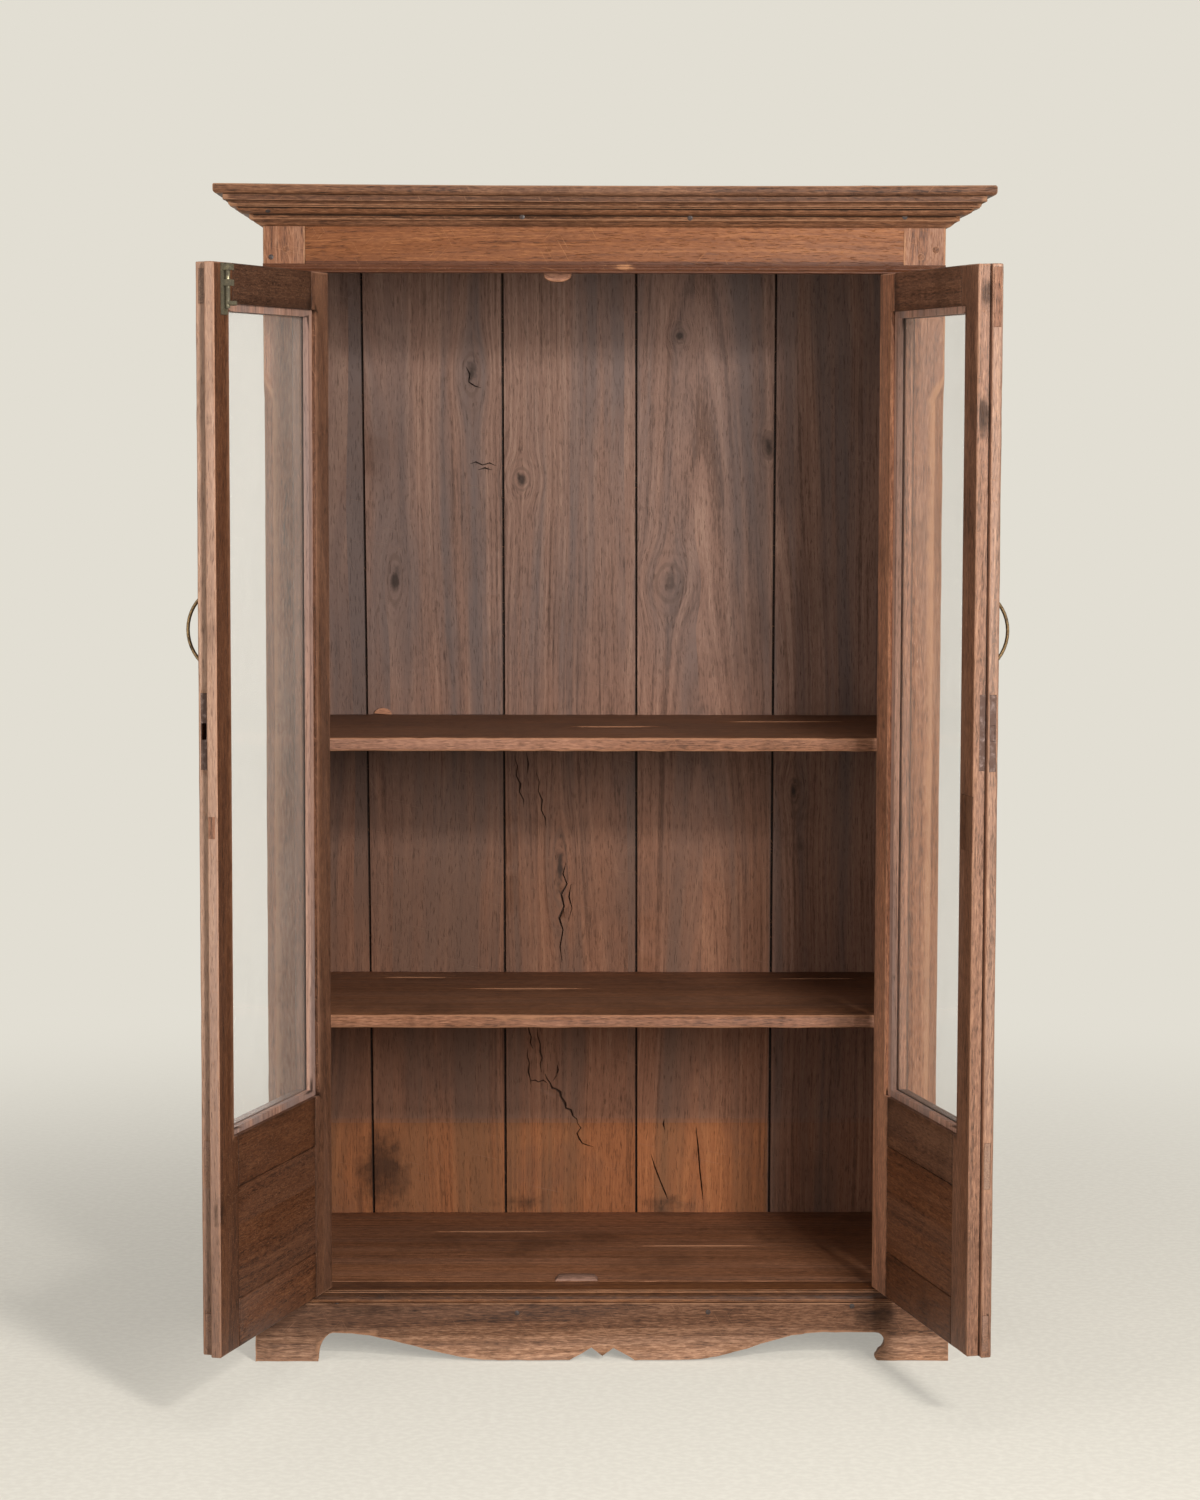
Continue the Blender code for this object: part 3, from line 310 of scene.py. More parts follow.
give(result, "Flecks", noise(tree, fine, (520.0, 520.0, 75.0), 3.0, 0.65))
pores = noise(tree, fine, (800.0, 800.0, 60.0), 2.0, 0.5, (1.0, 4.0, 2.0))
give(result, "Pores", fade(tree, pores, 0.60, 0.68))
give(result, "Blotches", noise(tree, own, (8.0, 8.0, 2.0), 3.0, 0.55))
greying = noise(tree, flow, (26.0, 26.0, 0.8), 3.0, 0.6, (2.0, 5.0, 3.0))
give(result, "Greying", fade(tree, greying, 0.40, 0.66))
print("group", grain_group.name, "has", len(grain_group.nodes), "nodes")

# %% [markdown]
# Years of use leave fine pale scratches that run any way, darker grime in the quirks of mouldings, and bare wood along
# every arris where hands and dusters pass. Each board carries a value that is positive on its outer corners and
# negative in its inner ones, and this group turns that value into patchy wear and grime.

# %% Wear group
wear_group, given, result = new_group(
    "Handling Wear",
    [("Place", "vector", None), ("Corner", "float", 0.0)],
    [("Rubbed", "float"), ("Grime", "float"), ("Scratches", "float"), ("Stains", "float")],
)
tree = wear_group
place = given["Place"]
patchy = noise(tree, place, (38.0, 38.0, 38.0), 5.0, 0.65)
give(result, "Rubbed", fade(tree, around(tree, patchy, 1.5, given["Corner"]), 0.35, 0.95))
sunk = calc(tree, "MULTIPLY", given["Corner"], -1.0)
give(result, "Grime", fade(tree, around(tree, patchy, 0.9, sunk), 0.15, 0.75))
scratches = fade(tree, noise(tree, place, (210.0, 210.0, 210.0), 3.0, 0.6), 0.70, 0.76)
for turned, far, wide in ((0.5, 16.0, 620.0), (-0.75, 24.0, 760.0), (1.35, 12.0, 560.0)):
    across = stretched(tree, place, (1.0, 1.0, 1.0), (0.0, turned, 0.2 * turned))
    line = noise(tree, across, (wide, wide, far), 1.0, 0.4)
    scratches = calc(tree, "MAXIMUM", scratches, fade(tree, line, 0.70, 0.76))
give(result, "Scratches", scratches)
cloud = noise(tree, place, (7.0, 7.0, 5.0), 5.0, 0.62, (3.1, 1.7, 0.4))
give(result, "Stains", fade(tree, cloud, 0.50, 0.72))
print("group", wear_group.name, "has", len(wear_group.nodes), "nodes")

# %% [markdown]
# A knot is where a branch left the trunk. The fibres part and run round it, so this group spreads the grain vector
# near the knot's centre and puts out a mask for its dark heart.

# %% Knot group
knot_group, given, result = new_group(
    "Knot",
    [("Grain", "vector", None), ("Place", "vector", None), ("Centre", "vector", None),
     ("Half", "vector", (0.01, 0.0, 0.02))],
    [("Grain", "vector"), ("Heart", "float"), ("Circles", "float")],
)
tree = knot_group
off = put(tree, "ShaderNodeSeparateXYZ", {0: vector_calc(tree, "SUBTRACT", given["Place"], given["Centre"])}).outputs
half = put(tree, "ShaderNodeSeparateXYZ", {0: given["Half"]}).outputs
wide, tall = calc(tree, "DIVIDE", off[0], half[0]), calc(tree, "DIVIDE", off[2], half[2])
ragged = around(tree, noise(tree, given["Place"], (90.0, 90.0, 60.0)), 1.1)
gap = calc(tree, "SQRT", calc(tree, "ADD", calc(tree, "MULTIPLY", wide, wide), calc(tree, "MULTIPLY", tall, tall)))
spread = fade(tree, gap, 0.0, 3.2, 0.85, 0.0)
inward = calc(tree, "MULTIPLY", calc(tree, "MULTIPLY", off[0], -1.0), spread)
push = put(tree, "ShaderNodeCombineXYZ", {0: inward}).outputs[0]
give(result, "Grain", vector_calc(tree, "ADD", given["Grain"], push))
give(result, "Heart", fade(tree, calc(tree, "ADD", gap, ragged), 0.10, 0.75, 1.0, 0.0))
wave = calc(tree, "SINE", calc(tree, "MULTIPLY", calc(tree, "MULTIPLY_ADD", ragged, 0.25, gap), 8.5))
circles = calc(tree, "MULTIPLY", fade(tree, wave, 0.1, 0.95), fade(tree, gap, 0.6, 2.3, 1.0, 0.0))
give(result, "Circles", circles)
print("group", knot_group.name, "has", len(knot_group.nodes), "nodes")

# %% [markdown]
# Grain and wear come together in one teak finish. Its colours run from a deep tone through a middle tone to a light
# one along the grain, then wear, grime, stains and scratches are laid over. Faces marked bare, such as the free edges
# of the doors and the front edges of the shelves, take a paler tone, because polish has gone from them. With a dark
# tone the same mark lays painted shade on a few faces, and a shade value scales each board's colour, for its own tone
# and for painted light or shade.

# %% Teak finish group
teak_group, given, result = new_group(
    "Old Teak",
    [
        ("Grain", "vector", None), ("Board", "float", 0.0), ("Pith", "vector", None), ("Place", "vector", None),
        ("Corner", "float", 0.0), ("Other", "float", 0.0), ("Shade", "float", 1.0),
        ("Deep", "colour", tone(84, 52, 34)), ("Middle", "colour", tone(140, 94, 66)),
        ("Light", "colour", tone(176, 128, 94)), ("Worn", "colour", tone(196, 148, 112)),
        ("Soot", "colour", tone(40, 26, 18)), ("Other Tone", "colour", tone(186, 132, 100)),
        ("Grey Tone", "colour", tone(120, 98, 88)), ("Other Share", "float", 0.2), ("Grey", "float", 0.15),
        ("Ring Gap", "float", 0.008), ("Wander", "float", 0.03), ("Ring Strength", "float", 0.25),
        ("Wear", "float", 0.7), ("Grime", "float", 0.8), ("Stain", "float", 0.4), ("Scratch", "float", 0.3),
        ("Dullness", "float", 0.5), ("Fleck", "float", 2.2), ("Streak", "float", 0.8),
    ],
    [("Colour", "colour"), ("Roughness", "float"), ("Height", "float")],
)
tree = teak_group
reads = {key: given[key] for key in ("Grain", "Board", "Pith", "Ring Gap", "Wander")}
figure = put(tree, "ShaderNodeGroup", reads, node_tree=grain_group).outputs
worn = put(tree, "ShaderNodeGroup", {key: given[key] for key in ("Place", "Corner")}, node_tree=wear_group).outputs

value = 0.5
for key, gain in (("Fibres", 1.1), ("Flecks", given["Fleck"]), ("Streaks", given["Streak"]), ("Blotches", 0.7)):
    value = around(tree, figure[key], gain, value)
value = calc(tree, "SUBTRACT", value, around(tree, figure["Rings"], given["Ring Strength"]), clamp=True)
colour = mix(tree, fade(tree, value, 0.02, 0.50), given["Deep"], given["Middle"])
colour = mix(tree, fade(tree, value, 0.50, 0.98), colour, given["Light"])
colour = mix(tree, calc(tree, "MULTIPLY", figure["Greying"], given["Grey"]), colour, given["Grey Tone"])
colour = put(tree, "ShaderNodeVectorMath", {0: colour, "Scale": given["Shade"]}, operation="SCALE").outputs[0]
tinted = vector_calc(tree, "DIVIDE", vector_calc(tree, "MULTIPLY", colour, given["Other Tone"]), given["Middle"])
paler = mix(tree, given["Other Share"], tinted, given["Other Tone"])
colour = mix(tree, given["Other"], colour, paler)
for layer, strength, laid_on in (
    (figure["Pores"], 0.45, "Soot"), (worn["Stains"], given["Stain"], "Deep"),
    (worn["Scratches"], given["Scratch"], "Worn"), (worn["Rubbed"], given["Wear"], "Worn"),
    (worn["Grime"], given["Grime"], "Soot"),
):
    colour = mix(tree, calc(tree, "MULTIPLY", layer, strength), colour, given[laid_on])
give(result, "Colour", colour)

rough = around(tree, figure["Fibres"], 0.22, given["Dullness"])
rough = calc(tree, "MULTIPLY_ADD", worn["Rubbed"], 0.14, rough)
rough = calc(tree, "MULTIPLY_ADD", worn["Scratches"], 0.10, rough, clamp=True)
give(result, "Roughness", rough)
height = calc(tree, "MULTIPLY", figure["Pores"], -0.6)
for layer, rise in ((figure["Flecks"], 0.6), (worn["Scratches"], -0.35), (figure["Rings"], -0.15)):
    height = calc(tree, "MULTIPLY_ADD", layer, rise, height)
give(result, "Height", height)
print("group", teak_group.name, "has", len(teak_group.nodes), "nodes")

# %% [markdown]
# Each wooden piece stores its own grain vector, corner value and bare mark as mesh attributes. A finish is then one
# material that reads them, so the same finish runs lengthwise on a stile and crosswise on a rail.

# %% Make a teak finish
def named(values):
    """Keywords as the names of group inputs: other_tone becomes Other Tone."""
    return {key.replace("_", " ").title(): value for key, value in values.items()}


def teak(name, bump=0.0005, sheen=0.22, knots=(), **values):
    """A material of the Old Teak group with its own tones."""
    made, tree = new_material(name)
    stored = {key: put(tree, "ShaderNodeAttribute", attribute_name=key.lower()).outputs
              for key in ("Grain", "Pith", "Board", "Corner", "Other", "Shade")}
    grain, place = stored["Grain"]["Vector"], object_place(tree)
    hearts = []
    for centre, half, dark in knots:
        inputs = {"Grain": grain, "Place": place, "Centre": centre, "Half": half}
        knot = put(tree, "ShaderNodeGroup", inputs, node_tree=knot_group).outputs
        grain = knot["Grain"]
        hearts.append((calc(tree, "MULTIPLY", knot["Heart"], dark), knot["Circles"]))
    inputs = {"Grain": grain, "Place": place, "Pith": stored["Pith"]["Vector"], **named(values)}
    for key in ("Board", "Corner", "Other", "Shade"):
        inputs[key] = stored[key]["Fac"]
    wood = put(tree, "ShaderNodeGroup", inputs, node_tree=teak_group).outputs
    colour = wood["Colour"]
    for heart, circles in hearts:
        colour = mix(tree, calc(tree, "MULTIPLY", circles, 0.4), colour, tone(88, 68, 58))
        colour = mix(tree, heart, colour, tone(46, 34, 28))
    relief = put(tree, "ShaderNodeBump", {"Strength": 0.8, "Distance": bump, "Height": wood["Height"]})
    shader = put(tree, "ShaderNodeBsdfPrincipled", {
        "Base Color": colour, "Roughness": wood["Roughness"], "Normal": relief.outputs[0], "Specular IOR Level": sheen,
    })
    put(tree, "ShaderNodeOutputMaterial", {"Surface": shader.outputs[0]})
    return made


print("a finish takes", len(teak_group.interface.items_tree), "sockets of the group", teak_group.name)

# %% [markdown]
# The cabinet shows several ages of teak. The frieze keeps its orange polish, the posts are dry and pale, the crown and
# the plinth hold dirt, the doors are dark with polish, or dull where they see less of it, and the back never had any.
# Each is the same group with other tones, written down as they look on the object. Two of those other tones carry
# painted shade: the frieze's dark bead, which is also grimy, and the crown's fillet under the top board. The knots
# belong to the back.

# %% Teak finishes
BACK_KNOTS = [
    ((x, 0.0, z), (wide, 0.0, tall), dark) for x, z, wide, tall, dark in (
        (-0.195, 1.397, 0.014, 0.034, 0.85), (-0.312, 1.084, 0.012, 0.040, 0.85), (-0.119, 1.238, 0.014, 0.018, 0.85),
        (0.122, 1.456, 0.010, 0.012, 0.85), (0.108, 1.080, 0.022, 0.030, 0.30), (0.258, 1.290, 0.010, 0.022, 0.80),
        (-0.060, 0.640, 0.012, 0.060, 0.85), (0.300, 0.760, 0.010, 0.020, 0.85),
    )
]
# Its other tone darkens the bead: grime, and a painted shade on the bead's underside.
FRIEZE_TEAK = teak(
    "frieze_teak", deep=tone(84, 45, 20), middle=tone(124, 72, 36), light=tone(153, 97, 56),
    worn=tone(190, 136, 96), other_tone=tone(90, 51, 29), other_share=0.4, ring_strength=0.25, dullness=0.46,
    stain=0.25, scratch=0.25, grey=0.1, fleck=1.3, streak=0.7,
)
POST_TEAK = teak(
    "post_teak", deep=tone(96, 58, 36), middle=tone(144, 94, 64), light=tone(170, 122, 92),
    worn=tone(192, 144, 110), other_tone=tone(176, 132, 106), ring_strength=0.35, dullness=0.48, stain=0.35, grey=0.3,
)
# Its other tone is a painted shade, for the fillet under the top board.
CROWN_TEAK = teak(
    "crown_teak", deep=tone(70, 43, 28), middle=tone(122, 81, 56), light=tone(160, 113, 82),
    worn=tone(174, 130, 100), other_tone=tone(84, 53, 36), ring_strength=0.2, dullness=0.52, stain=0.55, grime=0.95,
)
PLINTH_TEAK = teak(
    "plinth_teak", deep=tone(58, 37, 26), middle=tone(99, 66, 46), light=tone(134, 96, 72),
    worn=tone(176, 132, 102), other_tone=tone(160, 118, 90), other_share=0.15, ring_strength=0.2, dullness=0.56,
    stain=0.5, scratch=0.2,
)
SILL_TEAK = teak(
    "sill_teak", wear=0.5, deep=tone(58, 33, 18), middle=tone(99, 59, 33), light=tone(132, 86, 53),
    worn=tone(176, 130, 98), other_tone=tone(160, 116, 88), ring_strength=0.3, dullness=0.5, stain=0.5, scratch=0.2,
    grime=0.5,
)
DOOR_WEAR = dict(sheen=0.16, other_share=0.6, ring_strength=0.25, dullness=0.44, stain=0.45, scratch=0.5, wear=0.3)
DOOR_TEAK = teak(
    "door_teak", deep=tone(59, 35, 22), middle=tone(100, 61, 40), light=tone(125, 81, 54),
    worn=tone(174, 126, 96), other_tone=tone(186, 148, 126), **DOOR_WEAR,
)
DRY_DOOR_TEAK = teak(
    "dry_door_teak", deep=tone(59, 39, 28), middle=tone(100, 67, 50), light=tone(125, 88, 66),
    worn=tone(174, 128, 100), other_tone=tone(177, 146, 127), **DOOR_WEAR,
)
INNER_TEAK = teak(
    "inner_teak", deep=tone(66, 41, 26), middle=tone(106, 68, 45), light=tone(134, 91, 64),
    worn=tone(166, 119, 89), other_tone=tone(152, 105, 80), ring_strength=0.25, dullness=0.56, stain=0.5, scratch=0.45,
)
BACK_TEAK = teak(
    "back_teak", knots=BACK_KNOTS, deep=tone(102, 76, 64), middle=tone(142, 109, 94), light=tone(162, 129, 112),
    worn=tone(182, 150, 130), other_tone=tone(160, 99, 61), other_share=0.1, grey_tone=tone(112, 97, 93), grey=0.85,
    ring_strength=0.32, ring_gap=0.0065, wander=0.05, dullness=0.58, stain=0.35, scratch=0.1, wear=0.0, fleck=0.9,
    streak=1.25,
)
print("made", [m.name for m in bpy.data.materials if m.name.endswith("_teak")])

# %% [markdown]
# Boards lie three ways: those of the carcass along the room, and those of each open door along that door. Grain, wear
# and marks are easier to describe in a board's own directions, so each group of boards gets an origin and three ways:
# across, through and up. A door is measured from its hinge edge and its outer face, as on the bench.

# %% Directions of the carcass and of the two leaves
HINGE_GAP = 0.0015
PIN_SET = 0.0035


class Lie:
    """How a piece lies: an origin and three directions (across, through, up)."""

    def __init__(self, origin, across, through):
        self.origin = Vector(origin)
        self.ways = (Vector(across), Vector(through), Vector((0.0, 0.0, 1.0)))

    def measure(self, point):
        return Vector([(point - self.origin).dot(way) for way in self.ways])

    def place(self, a, b, c):
        return self.origin + self.ways[0] * a + self.ways[1] * b + self.ways[2] * c


def leaf_lie(pin, angle, side):
    """A leaf measured from its closed place: u from the hinge edge, v from the outer face, and height."""
    across = Matrix.Rotation(angle, 3, "Z") @ Vector((-side, 0.0, 0.0))
    through = Matrix.Rotation(angle, 3, "Z") @ Vector((0.0, 1.0, 0.0))
    return Lie(Vector(pin) + across * HINGE_GAP + through * PIN_SET, across, through)


CARCASS = Lie((0.0, 0.0, 0.0), (1.0, 0.0, 0.0), (0.0, 1.0, 0.0))
LEAVES = {
    "left": leaf_lie((-0.4135, -0.0535, 0.0), radians(-107.05), -1),
    "right": leaf_lie((0.4135, -0.0535, 0.0), radians(103.0), 1),
}
for word, lie in LEAVES.items():
    low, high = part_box(f"{word}_hinge_stile")
    print(word, "leaf's hinge stile has its middle at", [round(v, 4) for v in lie.measure((low + high) / 2)])

# %% [markdown]
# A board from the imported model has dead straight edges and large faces. The real one has been planed by hand and
# knocked about, and that needs points to move. So each board is copied, its loose corners are merged, and it is cut
# into a grid by planes, with one row of cuts close to every arris.

# %% Copy and cut a board
def select_only(thing):
    bpy.ops.object.select_all(action="DESELECT")
    thing.select_set(True)
    bpy.context.view_layer.objects.active = thing


def copy_of(node, name):
    """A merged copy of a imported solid, free to be shaped."""
    select_only(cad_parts[node])
    bpy.ops.object.duplicate()
    board = bpy.context.active_object
    board.name = board.data.name = name
    board.parent = None
    for key in [k for k in board.keys() if k.startswith("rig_")]:
        del board[key]
    bpy.ops.object.mode_set(mode="EDIT")
    bpy.ops.mesh.select_all(action="SELECT")
    bpy.ops.mesh.remove_doubles(threshold=0.00002)
    bpy.ops.mesh.dissolve_limited(angle_limit=radians(0.5))
    bpy.ops.object.mode_set(mode="OBJECT")
    board.data.materials.clear()
    return board


def cut_places(low, high, cell, rim):
    """Where to cut between two ends: a rim close to each end, and even cells between."""
    places = [low + rim, high - rim] if high - low > 3 * rim else []
    count = max(1, round((high - low) / cell))
    places += [low + (high - low) * i / count for i in range(1, count)]
    return sorted(places)


def cut_grid(board, lie, cells, rim, extra=()):
    spans = [lie.measure(v.co) for v in board.data.vertices]
    bpy.ops.object.mode_set(mode="EDIT")
    for i, way in enumerate(lie.ways):
        low, high = min(s[i] for s in spans), max(s[i] for s in spans)
        for along in cut_places(low, high, cells[i], rim) + [place for axis, place in extra if axis == i]:
            bpy.ops.mesh.select_all(action="SELECT")
            bpy.ops.mesh.bisect(plane_co=lie.origin + way * along, plane_no=way, threshold=0.00001)
    bpy.ops.mesh.select_all(action="SELECT")
    bpy.ops.mesh.dissolve_degenerate(threshold=0.00022)
    bpy.ops.object.mode_set(mode="OBJECT")


print("a board of 90 mm is cut at", [round(v, 4) for v in cut_places(0.0, 0.09, 0.03, 0.004)])

# %% [markdown]
# Wear starts at the arrises. Every point gets a value from the sharpest edge that it touches: up to 1 on an outer
# corner, down to -1 in an inner one. Two Displace modifiers then move the board: a slow one leaves its faces slightly
# uneven, and a sharper one takes nicks out of the arrises alone. The same value later tells the finish where wood is
# rubbed bare and where dirt gathers.

# %% Mark corners and wear a board
def corner_values(board):
    """For each vertex, up to 1 on an outer corner and down to -1 in an inner one."""
    shape = bmesh.new()
    shape.from_mesh(board.data)
    values = []
    for vertex in shape.verts:
        angles = [edge.calc_face_angle_signed(0.0) for edge in vertex.link_edges if len(edge.link_faces) == 2]
        sharpest = max(angles, key=abs, default=0.0)
        values.append(max(-1.0, min(1.0, sharpest / 0.75)) if abs(sharpest) > 0.5 else 0.0)
    shape.free()
    return values


clouds = {}
for key, size, depth in (("uneven", 0.16, 2), ("nicked", 0.014, 3)):
    clouds[key] = bpy.data.textures.new(key, "CLOUDS")
    clouds[key].noise_scale = size
    clouds[key].noise_depth = depth


def wear(board, corners, uneven, nicked):
    group = board.vertex_groups.new(name="arris")
    for i, value in enumerate(corners):
        if value > 0.3:
            group.add([i], value, "REPLACE")
    select_only(board)
    for key, strength, rest in (("uneven", uneven, 0.5), ("nicked", nicked, 0.62)):
        push = board.modifiers.new(key, "DISPLACE")
        push.texture = clouds[key]
        push.texture_coords = "LOCAL"
        push.strength = strength
        push.mid_level = rest
        if key == "nicked":
            push.vertex_group = "arris"
        bpy.ops.object.modifier_apply(modifier=key)
    board.vertex_groups.clear()


print("lumps and nicks are", [cloud.noise_scale for cloud in clouds.values()], "m across")

# %% [markdown]
# A finish can only follow the fibre if the board says which way it runs. So each board stores, as mesh attributes, its
# grain vector, the place of the pith, a number of its own, its shade, its corner values and which faces differ in tone.
# Attributes travel with the mesh, while a pattern tied to the room would slide off an opening door.

# %% Store grain and finish a board
def store(piece, grains, pith, number, shades, corners, tones):
    """Store what the teak finishes read. Tones go on the faces, and the rest on the points."""
    count = len(grains)
    for name, values in (("grain", grains), ("pith", [pith] * count)):
        flat = [part for value in values for part in value]
        piece.data.attributes.new(name, "FLOAT_VECTOR", "POINT").data.foreach_set("vector", flat)
    for name, values in (("board", [float(number)] * count), ("shade", shades), ("corner", corners), ("other", tones)):
        domain = "FACE" if name == "other" else "POINT"
        piece.data.attributes.new(name, "FLOAT", domain).data.foreach_set("value", values)


def along_fibre(point, lie, along):
    """A point with its Z along the fibre and X across the board's wider face."""
    a, b, c = lie.measure(point)
    return {0: (c, b, a), 1: (c, a, b), 2: (a, b, c)}[along]


def kept_share(value):
    """A share, kept between 0 and 1."""
    return max(0.0, min(1.0, value))


def share_of(number, step):
    """A fixed share between 0 and 1 for a board's number, so that no two boards match."""
    return (number * step) % 1.0


def blemish(place, marks):
    """Extra wear (positive) or grime (negative) near marked places: centre, reach and strength."""
    total = 0.0
    for centre, reach, strength in marks:
        gap = sum(((place[i] - centre[i]) / reach[i]) ** 2 for i in range(3))
        total += strength * max(0.0, 1.0 - gap)
    return total


def settle(piece, finish, body):
    """Give a shaped piece its finish and the body that it moves with."""
    piece.data.materials.append(finish)
    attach(piece, body)


made_boards = []


def board_of(node, body, finish, along, lie=CARCASS, cells=(0.03, 0.03, 0.03), rim=0.004, uneven=0.0007,
             nicked=0.0016, other=None, reshape=None, shade=1.0, carve=None, extra=(), rub=None, marks=()):
    """Copy one packed board, give it its wear and finish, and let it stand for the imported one."""
    number = len(made_boards) + 1
    board = copy_of(node, f"{node}_worn")
    if carve:
        carve(board)
    cut_grid(board, lie, cells, rim, extra)
    corners = corner_values(board)
    places = [lie.measure(v.co) for v in board.data.vertices]
    if rub:
        corners = [rub(place, value) for place, value in zip(places, corners)]
    grains = [Vector(along_fibre(v.co, lie, along)) for v in board.data.vertices]
    middle = [(min(g[i] for g in grains) + max(g[i] for g in grains)) / 2 for i in range(3)]
    half_width = max(0.01, max(g[0] for g in grains) - middle[0])
    pith = (half_width * (2.4 * share_of(number, 0.618) - 1.2), 0.02 + 0.06 * share_of(number, 0.414),
            0.10 * (share_of(number, 0.732) - 0.5))
    wear(board, corners, uneven, nicked)
    tones = [0.0] * len(board.data.polygons)
    if other:
        tones = [other(Vector([p.normal.dot(way) for way in lie.ways]), lie.measure(p.center))
                 for p in board.data.polygons]
    store(board, [g - Vector(middle) for g in grains], pith, number,
          [shade(place) if callable(shade) else shade for place in places],
          [value + blemish(place, marks) for value, place in zip(corners, places)], tones)
    if reshape:
        for vertex in board.data.vertices:
            vertex.co = reshape(vertex.co)
    select_only(board)
    bpy.ops.object.shade_smooth_by_angle(angle=radians(32))
    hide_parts(node)
    settle(board, finish, body)
    made_boards.append(board)


print("shares of the first three boards:", [round(share_of(number, 0.618), 2) for number in (1, 2, 3)])

# %% [markdown]
# The back is five wide boards that stand on end with open joints between them. They never had polish, so they have
# gone grey and dry near the top, with knots and long arched grain. Something stood on the bottom board for years, and
# below the line that it left they keep their brown. These helpers say so for each place, lay a painted shadow of the
# upper shelf on the boards between the shelves, lighten the last board in the post's shadow with painted light and
# darken its foot, and leave the rear face plain.

# %% Tones of the back
TIDE = 0.247
TIDE_BAND = 0.0035
REAR_SKIN = 0.458
LAST_JOINT = 0.26
SHELF_LEVELS = (0.47, 0.868)


def brown_foot(facing, place):
    """How brown a face is: fully below the tide line, and less and less above it."""
    if facing.y > 0.5:
        return 0.3
    share = 1.0 if place.x < LAST_JOINT else 0.45
    if place.z < TIDE - TIDE_BAND:
        return share
    if place.z < TIDE + TIDE_BAND:
        return 0.7 * share
    return 0.5 * share * kept_share((1.00 - place.z) / 0.4)


def back_tone_and_shade(number):
    """Boards differ in tone, with painted shade between the shelves and painted light on the last board."""
    board_shade = (0.84, 0.96, 0.97, 1.03, 1.30)[number - 1]

    def shade(place):
        if place.y > REAR_SKIN:
            return 0.9
        # Painted light and shade: the last board is lifted, its foot in the post's deepest shadow is darkened, and
        # between the shelves every board gets the upper shelf's painted shadow.
        foot = 1.02 if number < 5 else 0.74
        return board_shade * (1.0 if place.z > SHELF_LEVELS[1] else 0.80 if place.z > SHELF_LEVELS[0] else foot)

    return shade


def narrowed(node):
    """Take a hair off both edges of a board, so that its joints stand open."""
    low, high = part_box(node)
    middle, share = (low.x + high.x) / 2, 1.0 - 0.0016 / (high.x - low.x)

    def reshape(point):
        return Vector((middle + (point.x - middle) * share, point.y, point.z))

    return reshape


print("shade of board 1 at three levels:", [round(back_tone_and_shade(1)(Vector((0.0, 0.44, z))), 2) for z in (0.3, 0.6, 1.2)])

# %% [markdown]
# Dry boards crack, mostly round knots and near the foot. Each crack is a width and a path of picture points, which
# rays carry onto its board. A thin wedge along the path is taken out with a Boolean, before the board is cut into its
# grid, and an error stops the lesson if a wedge misses.

# %% Cracks in the back
CRACKS = {
    2: (
        (0.0018, (470, 464), (476, 462), (483, 465), (490, 463), (497, 466)),
        (0.0014, (478, 470), (485, 468), (493, 470)),
        (0.0014, (466, 366), (470, 374), (469, 382), (475, 386), (482, 388)),
    ),
    3: (
        (0.0020, (527, 1022), (529, 1032), (531, 1037), (530, 1043), (533, 1049)),
        (0.0016, (527.5, 1047), (527, 1056), (529, 1063), (528, 1072), (530, 1079), (531, 1087)),
        (0.0016, (537, 1027), (537.5, 1036), (540, 1044), (540, 1052), (542, 1058), (540, 1064), (541, 1072)),
        (0.0036, (545, 1074), (547, 1079), (550, 1083), (552, 1088), (556, 1089), (560, 1092), (561, 1097), (565, 1103),
         (566, 1108), (571, 1110), (573, 1116), (577, 1119), (578, 1125)),
        (0.0022, (577, 1122), (581, 1128), (577, 1133), (579, 1138), (582, 1143), (587, 1145), (594, 1147)),
        (0.0018, (557, 1064), (558, 1070), (556, 1076), (553, 1081)),
        (0.0012, (530, 1081), (535, 1080), (538, 1082), (543, 1080), (547, 1083)),
        (0.0024, (514, 756), (517, 766), (516, 776), (520, 784), (519, 792), (523, 799), (523, 808)),
        (0.0020, (536, 772), (539, 782), (538, 791), (542, 800), (541, 810), (545, 818), (546, 828)),
        (0.0018, (526, 752), (528, 764), (527, 774)),
        (0.0030, (566, 862), (563, 874), (567, 884), (561, 894), (564, 906), (559, 918), (563, 930), (560, 946),
         (562, 962)),
        (0.0016, (571, 884), (569, 897), (572, 908), (568, 922)),
    ),
    4: (
        (0.0014, (696, 1128), (698, 1146), (699.5, 1167), (701.5, 1185), (703, 1200)),
        (0.0014, (650.5, 1154), (654.5, 1167), (659.5, 1180), (665, 1193), (668, 1200)),
        (0.0012, (664, 1119), (663, 1124), (664.5, 1130)),
    ),
}
CRACK_DEPTH = 0.006
CRACK_LEAD = 0.002
CRACK_FLOOR_FROM, CRACK_FLOOR_TO = 0.4505, 0.4605


